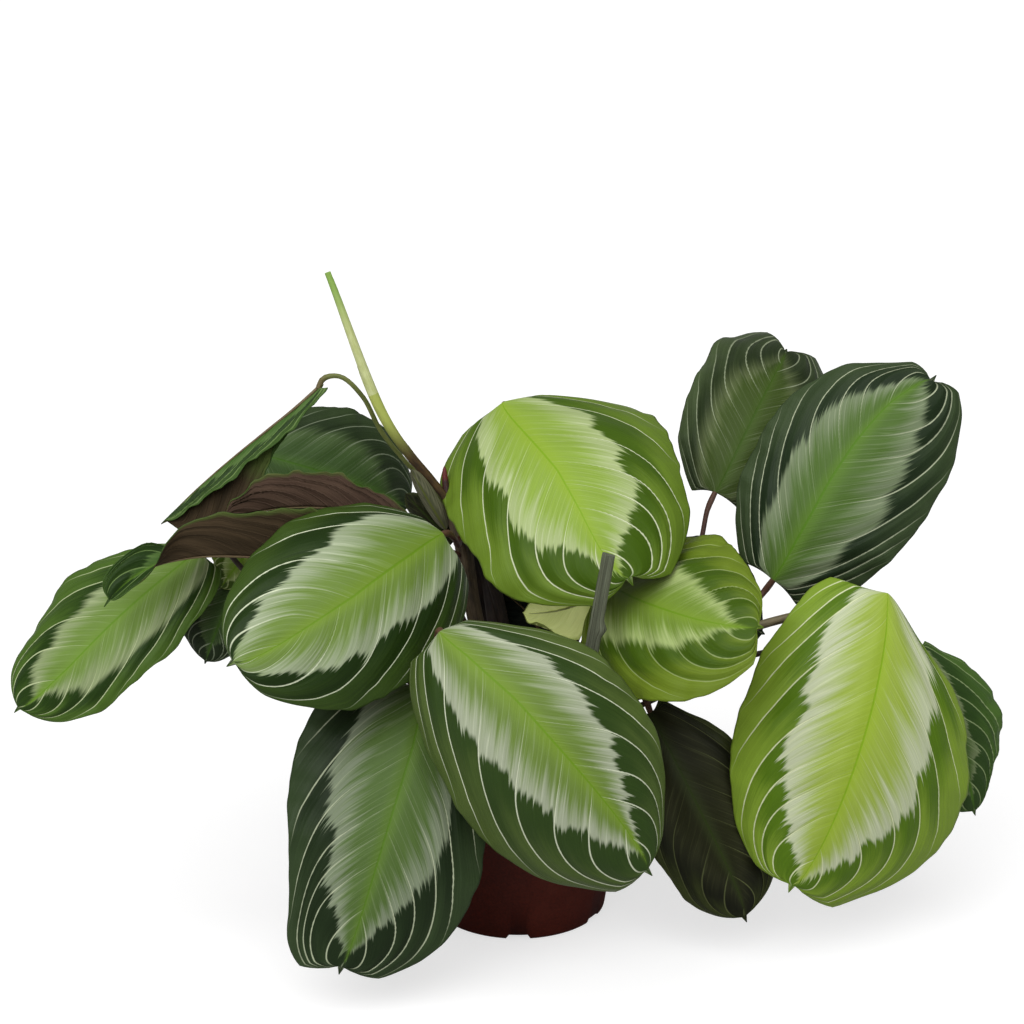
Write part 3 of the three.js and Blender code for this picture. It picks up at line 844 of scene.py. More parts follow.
# %% Veins
VEIN_LEAN = 0.38
VEIN_BEND = 0.65
BEND_FROM, BEND_SPAN = 0.35, 0.45
BEND_TO = BEND_FROM + BEND_SPAN
TIP_SWEEP = 0.21
VEINS_BEFORE = (0.57, 0.38, 0.19)
VEINS_BEYOND = (0.17, 0.36, 0.58)
BAND_DROP, BAND_DROP_FROM = 0.1, 0.84
NARROWEST = 2


def vein_start(u, s, sweep):
    """Where on the midrib the vein through (u, s) starts; s is the share of the half width."""
    t = np.clip((s - BEND_FROM) / BEND_SPAN, 0, 1)
    bent = BEND_SPAN * (t ** 3 - t ** 4 / 2) + np.maximum(s - BEND_TO, 0)
    toward_tip = sweep * TIP_SWEEP * smooth(u, 0.6, 1.0) * CUBIC_PEAK * s * (1 - s) ** 2
    return u - VEIN_LEAN * s - VEIN_BEND * bent - toward_tip


def vein_number(starts, f):
    """A whole number on each vein, evenly spaced beyond the first and last, and its rate."""
    starts = np.array([*(starts[0] - step for step in VEINS_BEFORE), *starts,
                       *(starts[-1] + step for step in VEINS_BEYOND)])
    index = np.clip(np.searchsorted(starts, f) - 1, 0, len(starts) - 2)
    gap = starts[index + 1] - starts[index]
    return index + (f - starts[index]) / gap, 1 / gap


def by_side(is_left, leaf, key):
    """What each point's own half says under the key."""
    return np.where(is_left, leaf["left"][key], leaf["right"][key])


def line_by_side(is_left, leaf, key, x, read=along_polyline):
    """The same where the key holds a polyline, read at x."""
    return np.where(is_left, read(leaf["left"][key], x), read(leaf["right"][key], x))


def vein_values(leaf, left, u, s, shape):
    """Each point's vein number, the band's edge there, and the space between veins in mm."""
    f = vein_start(u, s, leaf["sweep"])
    number, rate = np.where(left, vein_number(leaf["left"]["veins"], f),
                            vein_number(leaf["right"]["veins"], f))
    band = line_by_side(left, leaf, "band", f) - BAND_DROP * smooth(f, BAND_DROP_FROM, 1.0)
    length = np.linalg.norm(leaf_axes(leaf)[1])
    lean = VEIN_LEAN + VEIN_BEND * smooth(s, BEND_FROM, BEND_TO)
    width = np.maximum(by_side(left, leaf, "width") * shape, NARROWEST)
    slope = np.sqrt(1 / length ** 2 + (lean / width) ** 2)
    return number, band, 1 / (rate * slope)


start_on_midrib = vein_start(np.array([0.9]), np.array([1.0]), 0.0)[0]
print("a vein that ends at 0.9 of the margin starts at", round(float(start_on_midrib), 2))

# %% [markdown]
# ## The surface of a blade
# Each half folds away from the midrib and curls towards the margin. The
# blade puffs up gently between its veins, sinks in a groove at the midrib
# and waves at its margin. All of this is one function of two shares, u along
# the midrib and v across it, so any grid of points can be laid on it.

# %% Blade surface
LOBE_POWER = 1.3
LOBE_START = 0.03
BEATS = ((3.1, 0.5), (5.3, 0.35), (8.9, 0.25), (14.3, 0.15))
MARGIN_NOTCH = 0.016
GROOVE_WIDTH = 2.5
CALM_ENDS = 9
TINY_STEP = 1e-4


def station(u, reach, here):
    """The place on the midrib that a point is drawn out from, moved by lobe and end."""
    start = np.clip(u / LOBE_START, 0, 1)
    stop = np.sqrt(np.clip((BODY_END - u) / LOBE_START, 0, 1))
    a = u - here("lobe") * reach ** LOBE_POWER * (1 - u) ** 3 * start
    return a + here("end") * reach ** LOBE_POWER * u ** 3 * stop


def blade_directions(leaf, a):
    """The sideways and upward directions at a, turned where the blade twists."""
    tangent = unit(midrib_points(leaf, a + TINY_STEP) - midrib_points(leaf, a - TINY_STEP))
    toward = leaf_axes(leaf)[4]
    sideways = unit(toward - (tangent @ toward)[..., None] * tangent)
    up = np.cross(sideways, tangent)
    if leaf["twist"]:
        turn = np.radians(leaf["twist"]) * smooth(a, *leaf["twist_from"])[..., None]
        sideways, up = (sideways * np.cos(turn) + up * np.sin(turn),
                        up * np.cos(turn) - sideways * np.sin(turn))
    return sideways, up


def blade_points(leaf, u, v):
    """Points in mm at u and v on the blade, with what the pattern needs there."""
    left = v > 0
    s = np.abs(v)

    # The midrib may run off the centre line, so v is spread to either side of it.
    offset = along_polyline(leaf["midline"], u)
    across = offset + v * (1 - np.sign(v) * offset)
    left_here = across > 0
    reach = np.abs(across)

    def here(key):
        return by_side(left_here, leaf, key)

    a = station(u, reach, here)
    rng = np.random.default_rng(leaf["seed"])
    ripple = np.where(left, waves(rng, u, BEATS), waves(rng, u, BEATS))
    notch = np.where(left, waves(rng, u, BEATS), waves(rng, u, BEATS))
    ends = np.clip(CALM_ENDS * u, 0, 1) * np.clip(CALM_ENDS * (1 - u), 0, 1)
    shape = outline(u, here("peak"), here("full"))
    trim = line_by_side(left_here, leaf, "trim", u, read=rounded_polyline)
    trim = 1 + (trim - 1) * reach ** 2
    width = here("width") * shape * trim * (1 + MARGIN_NOTCH * notch * ends * s ** 4)

    # A curl is a piece of a circle, which starts at the angle of the fold.
    fold, curl = np.radians(here("fold")), np.radians(here("curl"))
    out = width * (np.sin(fold + curl * reach) - np.sin(fold)) / curl
    lift = width * (np.cos(fold) - np.cos(fold + curl * reach)) / curl
    number, band, spacing = vein_values(leaf, left, u, s, shape)
    lift = lift - leaf["puff"] * np.cos(2 * np.pi * number) * np.sin(np.pi * s) * ends
    lift = lift - leaf["groove"] * np.exp(-(s * width / GROOVE_WIDTH) ** 2) * ends
    lift = lift + leaf["wave"] * ripple * s ** 4 * ends
    sideways, up = blade_directions(leaf, a)
    place = midrib_points(leaf, a) + (np.sign(across) * out)[..., None] * sideways
    return place + lift[..., None] * up, number, band, spacing


margin = blade_points(level_leaf, np.array([0.5, 0.5]), np.array([1.0, -1.0]))[0]
print("a level leaf is", round(float(abs(margin[0, 1] - margin[1, 1]))), "mm wide in the middle")

# %% [markdown]
# ## From a surface to a piece
# A piece is a mesh object in its place, with the CAD node it stands for and
# the body it rides on. For a blade a flat grid is laid on the surface. Its
# rows lie closer at the ends and at the margin, where the outline bends
# most. A Solidify modifier then gives it its thickness, and the underside
# its own material.

# %% Pieces and blades
STATIONS_PER_MM, FEWEST_STATIONS, MOST_STATIONS = 0.75, 24, 96
LANES_PER_MM, FEWEST_LANES, MOST_LANES = 0.27, 8, 36
EDGE_CROWDING = 0.35
ALMOST_ZERO = 1e-9
ON_MIDRIB = 1e-6
WELD = 1e-6


def add_piece(name, bm, materials, nodes, slot):
    """Turns a bmesh in metres into a finished piece that rides on the root."""
    mesh = bpy.data.meshes.new(name)
    bm.to_mesh(mesh)
    bm.free()
    mesh.shade_smooth()
    for material in materials:
        mesh.materials.append(material)
    piece = bpy.data.objects.new(name, mesh)
    scene.collection.objects.link(piece)
    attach(piece, "root")
    if nodes:
        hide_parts(*nodes)
    return piece


def blade_grid(leaf):
    """A flat grid with its three empty maps, and u and v at each of its points."""
    length = np.linalg.norm(leaf_axes(leaf)[1])
    stations = int(np.clip(length * STATIONS_PER_MM, FEWEST_STATIONS, MOST_STATIONS))
    lanes = 2 * int(np.clip(length * LANES_PER_MM, FEWEST_LANES, MOST_LANES))
    bm = bmesh.new()
    maps = [bm.loops.layers.uv.new(name) for name in ("blade", "veins", "band")]
    bmesh.ops.create_grid(bm, x_segments=stations, y_segments=lanes, size=1.0)
    bm.verts.ensure_lookup_table()
    raw = np.array([vert.co[:2] for vert in bm.verts])
    u = (1 - np.cos(np.pi * (raw[:, 0] + 1) / 2)) / 2
    v = np.sin(np.pi / 2 * raw[:, 1]) * EDGE_CROWDING + raw[:, 1] * (1 - EDGE_CROWDING)
    v[np.abs(v) < ON_MIDRIB] = 0.0
    return bm, maps, u, v


def add_blade(name, leaf, materials, slot, replaced):
    """A blade: a grid laid on the leaf's surface and given its thickness."""
    bm, (blade_map, vein_map, band_map), u, v = blade_grid(leaf)
    sides = {True: blade_points(leaf, u, np.where(v == 0, ALMOST_ZERO, v)),
             False: blade_points(leaf, u, np.where(v == 0, -ALMOST_ZERO, v))}
    for face in bm.faces:
        is_left = sum(v[vert.index] for vert in face.verts) > 0
        _, number, band, spacing = sides[is_left]
        for loop in face.loops:
            i = loop.vert.index
            loop[blade_map].uv = (u[i], (v[i] + 1) / 2)
            loop[vein_map].uv = (number[i] + (0.0 if is_left else SIDE_OFFSET), abs(v[i]))
            loop[band_map].uv = (band[i], spacing[i])
    for vert, point in zip(bm.verts, sides[True][0]):
        vert.co = Vector(point) * MM
    bmesh.ops.remove_doubles(bm, verts=bm.verts, dist=WELD)
    bmesh.ops.reverse_faces(bm, faces=bm.faces)
    blade = add_piece(name, bm, materials, replaced, slot)
    shell = blade.modifiers.new("thickness", "SOLIDIFY")
    shell.thickness = BLADE_THICKNESS
    shell.offset = 0.0
    shell.material_offset = 1


print("blades are", BLADE_THICKNESS / MM, "mm thick")

# %% [markdown]
# ## Tubes
# Stalks, stems, the shoot and the stake are all round or nearly round. A
# curve object with a bevel would do for a plain one. A grid rolled into a
# tube along a smooth path also takes ribs, joints and tapers, and its map
# `tube` runs along it and round it.

# %% Smooth paths
FIRST_SIDE = (0.3, 0.9, 0.2)  # no path starts in this direction


def smooth_path(points, count):
    """Evenly many points on a centripetal Catmull-Rom curve through the given ones."""
    p = [np.array(point, float) for point in points]
    p = [2 * p[0] - p[1]] + p + [2 * p[-1] - p[-2]]
    path = []
    for share in np.linspace(0, len(points) - 1, 6 * count):
        i = min(int(share), len(points) - 2)
        t = share - i
        p0, p1, p2, p3 = p[i:i + 4]
        d0, d1, d2 = (np.linalg.norm(b - a) ** 0.5 for a, b in ((p0, p1), (p1, p2), (p2, p3)))
        m1 = ((p1 - p0) / d0 - (p2 - p0) / (d0 + d1) + (p2 - p1) / d1) * d1
        m2 = ((p2 - p1) / d1 - (p3 - p1) / (d1 + d2) + (p3 - p2) / d2) * d1
        path.append(p1 + m1 * t + (3 * p2 - 3 * p1 - 2 * m1 - m2) * t ** 2
                    + (2 * p1 - 2 * p2 + m1 + m2) * t ** 3)
    path = np.array(path)
    steps = np.concatenate(([0], np.cumsum(np.linalg.norm(np.diff(path, axis=0), axis=1))))
    even = np.linspace(0, steps[-1], count)
    return np.stack([np.interp(even, steps, path[:, k]) for k in range(3)], axis=1)


def path_length(path):
    return np.linalg.norm(np.diff(path, axis=0), axis=1).sum()


def path_frames(path):
    """Two directions across the path at each point, carried along without twisting."""
    tangents = unit(np.gradient(path, axis=0))
    first = np.cross(tangents[0], FIRST_SIDE)
    frames = []
    for tangent in tangents:
        first = unit(first - (first @ tangent) * tangent)
        frames.append((first, np.cross(tangent, first)))
    return frames


corner = smooth_path([(0, 0, 0), (10, 0, 10), (20, 0, 0)], 12)
print("a path round a corner of 28 mm is", round(float(path_length(corner)), 1), "mm long")

# %% [markdown]
# ## Rolling a tube
# `roll_tube` rolls the grid up round its path and welds the two edges that
# meet. It fills the two ends as flat caps with sharp rims, because smooth
# shading over a cap would darken it.

# %% Rolled tubes


def roll_tube(path, section, sides, frames=None):
    """A bmesh tube: section(share, angle) gives the radius at each point."""
    bm = bmesh.new()
    tube_map = bm.loops.layers.uv.new("tube")
    bmesh.ops.create_grid(bm, x_segments=len(path) - 1, y_segments=sides, size=1.0)
    frames = frames or path_frames(path)
    shares = {vert: ((vert.co.x + 1) / 2, (vert.co.y + 1) / 2) for vert in bm.verts}
    for face in bm.faces:
        for loop in face.loops:
            loop[tube_map].uv = shares[loop.vert]
    for vert, (along, round_share) in shares.items():
        i = round(along * (len(path) - 1))
        angle = 2 * math.pi * round_share
        radius = section(along, angle)
        first, second = frames[i]
        out = first * math.cos(angle) + second * math.sin(angle)
        vert.co = Vector(path[i] + out * radius) * MM
    bmesh.ops.remove_doubles(bm, verts=bm.verts, dist=WELD)
    rims = [edge for edge in bm.edges if edge.is_boundary]
    for edge in rims:
        edge.smooth = False
    bmesh.ops.holes_fill(bm, edges=rims, sides=0)
    bmesh.ops.recalc_face_normals(bm, faces=bm.faces)
    return bm


sample_tube = roll_tube(corner, lambda share, angle: 1.0, 8)
print("a tube of 12 rings of 8 has", len(sample_tube.faces), "faces with its two caps")
sample_tube.free()

# %% [markdown]
# ## Plant skins
# Stalks, stems and old sheaths are bundles of fibres. Streaks run along
# them, and blotches break the streaks up. A noise read in the tube's own map
# would show a seam where the map closes, so it is read on a circle instead.
# Many skins share it, so it is a node group too.

# %% Fibres group
BLOTCHES_ALONG = 14.0

fibres, w, given, result = new_group(
    "plant_fibres",
    {"Fine": 15.0, "Long": 6.0, "Contrast": 1.0, "Seed": 0.0},
    {"Streaks": 0.5, "Blotches": 0.5},
)
along, turn_share = w.parts(w.uv("tube"))[:2]
turn = w.mul(turn_share, 2 * math.pi)
ring_x, ring_y = w.math("COSINE", turn), w.math("SINE", turn)
fibre_place = w.vector(w.mul(ring_x, given["Fine"]), w.mul(ring_y, given["Fine"]),
                       w.add(w.mul(along, given["Long"]), given["Seed"]))
streaks = w.noise(fibre_place, detail=4.0, roughness=0.6)
blotch_place = w.vector(ring_x, ring_y, w.add(w.mul(along, BLOTCHES_ALONG), given["Seed"]))
w.put(result["Streaks"], w.add(w.swing(streaks, given["Contrast"]), 0.5))
w.put(result["Blotches"], w.noise(blotch_place))
print("plant fibres:", len(fibres.nodes), "nodes")

# %% [markdown]
# ## Skins of the stalks and ridges
# Most stalks are red-brown, but some are green or buff, and many change
# colour just below the blade. One function makes them all from a dark and a
# light tone and the colour of the end.

# %% Stalk skins
FIBRE_RELIEF = 0.0003


def fibre_material(name, low, high, end=None, end_from=0.9, end_soft=0.08, roughness=0.55,
                   seed=0.0, long=6.0):
    """A streaked plant skin; end is the colour that it turns to past end_from."""
    material, w, shader = new_material(name, roughness)
    out = w.use(fibres, Seed=seed, Long=long)
    tone = w.add(w.mul(out["Streaks"], 0.7), w.mul(out["Blotches"], 0.5))
    colour = w.mix(w.step(tone, 0.4, 0.8), paint(*low), paint(*high))
    if end:
        along = w.parts(w.uv("tube"))[0]
        turned = w.step(along, end_from, min(end_from + end_soft, 1.0))
        colour = w.mix(turned, colour, paint(*end))
    w.put(shader["Base Color"], colour)
    w.put(shader["Normal"], w.bump(out["Streaks"], 0.5, FIBRE_RELIEF))
    return material


RED_STALK = fibre_material("red_stalk", (48, 26, 20), (96, 58, 42), end=(88, 58, 40))
BROWN_STALK = fibre_material("brown_stalk", (34, 24, 18), (72, 54, 36), end=(84, 54, 38),
                             end_from=0.92)
GREEN_STALK = fibre_material("green_stalk", (84, 96, 40), (124, 128, 66), end=(96, 84, 44))
BUFF_STALK = fibre_material("buff_stalk", (86, 76, 50), (146, 134, 100), end=(104, 76, 50),
                            end_from=0.95)
MIDRIB_SKIN = fibre_material("midrib_skin", (88, 66, 46), (118, 104, 66), seed=3.0)
YOUNG_RIB = fibre_material("young_midrib_skin", (184, 190, 122), (206, 212, 150), seed=3.0)
print("skins:", [m.name for m in bpy.data.materials if "stalk" in m.name or "midrib" in m.name])

# %% [markdown]
# ## The midrib's ridge and the stalk
# Under each blade the midrib stands out as a tapering ridge. The stalk leaves
# the soil in a dry sheath, or grows from a stem. It runs thin and red-brown,
# swells into a joint and meets the blade from below. Both are tubes: the
# ridge's path is read off the blade's own surface, and the stalk's is a
# smooth one through a few points that were judged.

# %% Ridges and stalks
SOIL_TOP = 84.0
RIDGE_SHARE, RIDGE_TAPER, RIDGE_LEAST = 0.5, 0.8, 0.12
RIDGE_CLEARANCE = 0.05
RIDGE_START, RIDGE_END, RIDGE_RINGS = 0.01, 0.92, 30
SHEATH_DEPTH, SHEATH_TOP = 5, 7
JOINT_PLACE, JOINT_LENGTH = 5.0, 4.5
FOOT_LENGTH = 14
PLAIN_GIRTH, JOINT_SWELL, FOOT_SWELL = 0.88, 0.2, 0.5
STALK_RINGS, STALK_SIDES = 48, 12


def add_ridge(name, leaf, radius, skin, slot):
    """The ridge of the midrib, just below the blade."""
    def thickness(share):
        return radius * RIDGE_SHARE * (1 - share) ** RIDGE_TAPER

    shares = np.linspace(RIDGE_START, RIDGE_END, RIDGE_RINGS)
    rib = blade_points(leaf, shares, np.full_like(shares, ALMOST_ZERO))[0]
    beside = blade_points(leaf, shares, np.full_like(shares, 0.03))[0]
    normal = unit(np.cross(beside - rib, np.gradient(rib, axis=0)))
    deep = BLADE_THICKNESS / MM / 2 + thickness(shares) + RIDGE_CLEARANCE
    tube = roll_tube(rib - normal * deep[:, None],
                     lambda share, angle: thickness(share) + RIDGE_LEAST, 8)
    add_piece(name + "_midrib", tube, [skin], [], slot)


def stalk_path(leaf, stalk, radius, on_stem, back, lift, far, tuck):
    """Through the given points, and up to the blade's base from behind and below."""
    origin, _, forward, up, _ = leaf_axes(leaf)
    away = unit(-back * forward - lift * up)
    root = stalk[0][:2]
    foot = [(*root, SOIL_TOP - SHEATH_DEPTH), (*root, SOIL_TOP + SHEATH_TOP)]
    points = list(stalk) if on_stem else foot + list(stalk[1:])
    points += [tuple(origin + away * far + forward * (tuck - 0.5)),
               tuple(origin - up * radius * (0.5 + 0.1 * tuck) + forward * tuck)]
    return smooth_path(points, STALK_RINGS)


def add_stalk(name, path, radius, on_stem, skin):
    """A stalk, swollen at its foot in the soil and at its joint below the blade."""
    length = path_length(path)

    def section(share, angle):
        to_end = (1 - share) * length
        joint = math.exp(-((to_end - JOINT_PLACE) / JOINT_LENGTH) ** 2)
        foot = 0.0 if on_stem else math.exp(-share * length / FOOT_LENGTH)
        return radius * (PLAIN_GIRTH + JOINT_SWELL * joint + FOOT_SWELL * foot)

    slot = "buff_sheath" if skin is BUFF_STALK else "red_stalk"
    tube = roll_tube(path, section, STALK_SIDES)
    add_piece(name + "_stalk", tube, [skin], ["petiole_" + name], slot)


print("stalks start", SHEATH_DEPTH, "mm below the soil's top at", SOIL_TOP, "mm")

# %% [markdown]
# ## Growing a leaf
# One call grows a whole leaf: the blade, the ridge of its midrib below it,
# and its stalk. The palette also says which slot its colour belongs to.

# %% Grow a leaf
SLOT_PALETTES = {
    "leaf_lime": ("lime", "bright", "yellow"),
    "leaf_green": ("fresh", "green", "leafy", "moss", "fold"),
    "leaf_dark": ("deep", "slate", "dusk", "gloom", "shade"),
    "leaf_pale": ("pale",),
}
SLOTS = {palette: slot for slot, palettes in SLOT_PALETTES.items() for palette in palettes}


def grow_leaf(name, base, tip, face, left, right, stalk, radius, palette, under="purple",
              look=None, back=1.0, lift=0.5, far=9, tuck=0.5, on_stem=False, skin=None,
              slot=None, **shape):
    """A whole leaf, from its blade's plan, its stalk's points and its palette.

    back, lift and far place the stalk's last bend behind and below the
    blade's base, and tuck is how far the stalk runs on under the blade."""
    leaf = blade_plan(base, tip, face, left, right, **shape)
    width = (left["width"] + right["width"]) / 2
    materials = leaf_materials("leaf_" + name, palette, under, leaf["seed"], width, **(look or {}))
    slot = slot or SLOTS[palette]
    add_blade(name + "_blade", leaf, materials, slot, ["leaf_" + name])
    add_ridge(name, leaf, radius, YOUNG_RIB if under == "young" else MIDRIB_SKIN, slot)
    path = stalk_path(leaf, stalk, radius, on_stem, back, lift, far, tuck)
    add_stalk(name, path, radius, on_stem, skin or RED_STALK)
    lengths = (np.linalg.norm(leaf_axes(leaf)[1]), path_length(path))
    print(name, "blade {:.0f} mm, stalk {:.0f} mm".format(*lengths))


print("slots for the leaves:", ", ".join(SLOT_PALETTES))

# %% [markdown]
# ## The large front leaves
# These four carry the picture: the lime leaf at the top, the bright one
# behind the stake, the striped one in front and the lime one at the right.
# Their midribs, side veins and bands follow what each real leaf shows, so
# these plans are long. Smaller leaves get by with the default half.

# %% The top leaf
grow_leaf("top_centre", (-7, 42, 245), (52, -54, 185), (0.1, -0.85, 0.55),
          half(58, curl=-34, end=0.08, veins=(-0.39, -0.16, 0.09, 0.3, 0.5, 0.65),
               band=((-0.11, 0.49), (0.07, 0.47), (0.12, 0.52), (0.27, 0.47), (0.33, 0.54),
                     (0.43, 0.52), (0.53, 0.49), (0.6, 0.38), (0.7, 0.28), (0.8, 0.2), (0.9, 0.08)),
               trim=((0, 1), (0.05, 1.1), (0.1, 1.14), (0.2, 1.08), (0.3, 1.02), (0.45, 1),
                     (0.6, 1.02), (0.7, 1.12), (0.8, 1.17), (0.88, 1.24), (0.94, 1.02), (1, 0.6))),
          half(66, curl=-40, end=0.1, veins=(-0.25, -0.03, 0.26, 0.45, 0.57, 0.68),
               band=((-0.06, 0.47), (0.05, 0.53), (0.18, 0.45), (0.25, 0.51), (0.39, 0.43),
                     (0.5, 0.46), (0.55, 0.44), (0.61, 0.38), (0.7, 0.3), (0.8, 0.2), (0.9, 0.08)),
               trim=((0, 1), (0.05, 1.12), (0.1, 1.22), (0.15, 1.23), (0.2, 1.19), (0.3, 1.1),
                     (0.4, 1.02), (0.5, 0.95), (0.6, 0.92), (0.75, 0.92), (0.82, 1), (0.9, 1.03),
                     (1, 0.9))),
          [(-26.5, 7.5, 184), (-22, 18, 189), (-18, 34, 206), (-11, 47, 228)], 1.6, "lime",
          rise=8, nod=14, seed=11, look=dict(fade=0.7, start=0.4), far=6, back=0.2, lift=1,
          midline=((0, 0.08), (0.5, 0.05), (0.7, 0.09), (0.85, 0.14), (1, 0.14)), on_stem=True)

# %% The leaf behind the stake
grow_leaf("behind_stake", (41, -8, 170), (109, -84, 176), (0.25, -0.85, 0.5),
          half(48, fold=0, end=0.08, lobe=0.05, veins=(-0.1, 0.12, 0.35, 0.52, 0.64),
               band=((0, 0.55), (0.1, 0.53), (0.22, 0.47), (0.34, 0.43), (0.5, 0.4),
                     (0.65, 0.25), (0.85, 0.03))),
          half(44, fold=0, veins=(-0.1, 0.12, 0.33, 0.55, 0.66),
               band=((0, 0.5), (0.21, 0.48), (0.45, 0.4), (0.65, 0.27), (0.85, 0.03)),
               trim=((0, 1), (0.2, 1.1), (0.4, 1.12), (0.5, 1.05), (0.7, 0.9), (0.85, 0.84),
                     (1, 0.9))),
          [(10, -2), (24, 6, 125), (36, 9, 155)], 1.6, "bright",
          rise=4, nod=6, sway=5, seed=12, midline=((0, 0), (0.3, 0.05), (0.7, 0.1), (1, 0.1)),
          puff=0.9, look=dict(soft=0.05, vein=0.5, fade=0.7))

# %% The striped front leaf
grow_leaf("front", (-35, -92, 177), (59, -124, 74), (0, -0.95, 0.3),
          half(57, fold=-6, curl=-50, end=0.08, full=2.4,
               veins=(-0.36, -0.18, -0.01, 0.17, 0.35, 0.52, 0.66),
               band=((-0.07, 0.38), (0.05, 0.4), (0.18, 0.43), (0.27, 0.38), (0.34, 0.42),
                     (0.47, 0.35), (0.53, 0.36), (0.58, 0.32), (0.65, 0.26), (0.74, 0.2),
                     (0.82, 0.13), (0.92, 0.04)),
               trim=((0, 1.02), (0.05, 0.98), (0.1, 0.91), (0.4, 0.92), (0.5, 1), (0.9, 1.05),
                     (1, 1))),
          half(54, fold=-6, curl=-50, lobe=0.03, end=0.02,
               veins=(-0.2, -0.03, 0.16, 0.39, 0.57, 0.7),
               band=((-0.08, 0.46), (0, 0.46), (0.03, 0.54), (0.12, 0.47), (0.18, 0.53),
                     (0.33, 0.45), (0.39, 0.49), (0.51, 0.37), (0.57, 0.32), (0.66, 0.24),
                     (0.75, 0.15), (0.88, 0.04)),
               trim=((0, 0.6), (0.05, 0.7), (0.13, 0.92), (0.2, 1), (0.3, 1.04), (0.8, 1.07),
                     (0.87, 1.05), (0.94, 0.88), (1, 0.9))),
          [(-8, -20), (-18, -44, 122), (-30, -74, 150), (-36, -83, 166)], 1.8, "fresh",
          rise=14, nod=10, seed=13, midline=((0, 0), (0.1, -0.07), (0.3, -0.13), (1, -0.14)),
          back=0.2, lift=1, far=5, tuck=1.2)

# %% The lime leaf at the right
grow_leaf("lower_right", (172, -28, 172), (126, -70, 39), (0.1, -0.95, 0.3),
          half(54, curl=-40, end=0.04, veins=(-0.28, -0.13, 0.07, 0.29, 0.46, 0.57, 0.7),
               band=((-0.15, 0.56), (-0.03, 0.58), (0.07, 0.51), (0.13, 0.56), (0.22, 0.5),
                     (0.29, 0.52), (0.35, 0.51), (0.43, 0.48), (0.52, 0.47), (0.57, 0.43),
                     (0.62, 0.39), (0.7, 0.31), (0.8, 0.2), (0.9, 0.08)),
               trim=((0, 1.4), (0.05, 1.2), (0.12, 1.02), (0.2, 1), (1, 1))),
          half(70, curl=-40, end=0.13, lobe=0, peak=1.3, veins=(-0.31, -0.05, 0.16, 0.33, 0.5, 0.66),
               band=((-0.2, 0.73), (-0.06, 0.6), (0, 0.64), (0.08, 0.56), (0.24, 0.56), (0.3, 0.5),
                     (0.37, 0.56), (0.47, 0.49), (0.54, 0.45), (0.6, 0.38), (0.67, 0.31),
                     (0.78, 0.22), (0.9, 0.08)),
               trim=((0, 0.6), (0.06, 0.74), (0.12, 1.03), (0.2, 1.12), (0.3, 1.09), (0.45, 1.09),
                     (0.65, 1.13), (0.78, 1.15), (0.88, 1.08), (0.94, 0.95), (1, 1))),
          [(24, -7), (66, -8, 124), (100, -9, 143), (116, -8, 149), (133, -6, 153), (153, -6, 158)],
          2.4, "yellow", rise=12, nod=10, seed=14, look=dict(fade=0.6, start=0.32), far=8, back=0.1,
          lift=1, tuck=6, midline=((0, -0.05), (0.1, -0.09), (1, -0.1)), skin=BUFF_STALK)

# %% [markdown]
# ## Leaves on the left
# Three hang flat: a wide one, one low and one far out. Three have folded
# along the midrib, so that they show their dark underside. A fold is only a
# steep angle in the plan of one half. The lowest of these leaves twists near
# its tip and turns its green side to the front again. Three smaller ones
# hang between and behind the others.

# %% The wide left leaf
grow_leaf("left", (-35, -32, 203), (-128, -106, 166), (-0.2, -0.85, 0.5),
          half(47, curl=-35, veins=(-0.38, -0.18, 0.05, 0.35, 0.52, 0.65),
               band=((-0.15, 0.52), (-0.1, 0.58), (0.05, 0.58), (0.14, 0.56), (0.24, 0.46),
                     (0.36, 0.48), (0.48, 0.44), (0.54, 0.46), (0.62, 0.4), (0.73, 0.33),
                     (0.82, 0.22), (0.92, 0.08)),
               trim=((0, 1), (0.6, 1), (0.8, 0.95), (0.9, 1.02), (1, 1))),
          half(56, curl=-54, end=0.03, lobe=0.13, veins=(-0.28, -0.08, 0.12, 0.34, 0.57, 0.72),
               band=((-0.05, 0.46), (0, 0.5), (0.09, 0.52), (0.27, 0.47), (0.34, 0.52),
                     (0.44, 0.46), (0.49, 0.5), (0.58, 0.46), (0.64, 0.39), (0.73, 0.34),
                     (0.83, 0.22), (0.92, 0.08)),
               trim=((0, 1.15), (0.1, 1.12), (0.25, 1.06), (0.5, 1.03), (0.8, 1.07), (1, 1))),
          [(-27.5, 8.5, 188), (-28.5, -8, 189), (-30, -19, 196)], 1.6, "green",
          rise=12, nod=8, seed=21, sweep=0.5,
          midline=((0, -0.03), (0.2, -0.1), (0.5, -0.16), (1, -0.17)),
          far=6, lift=1, on_stem=True)

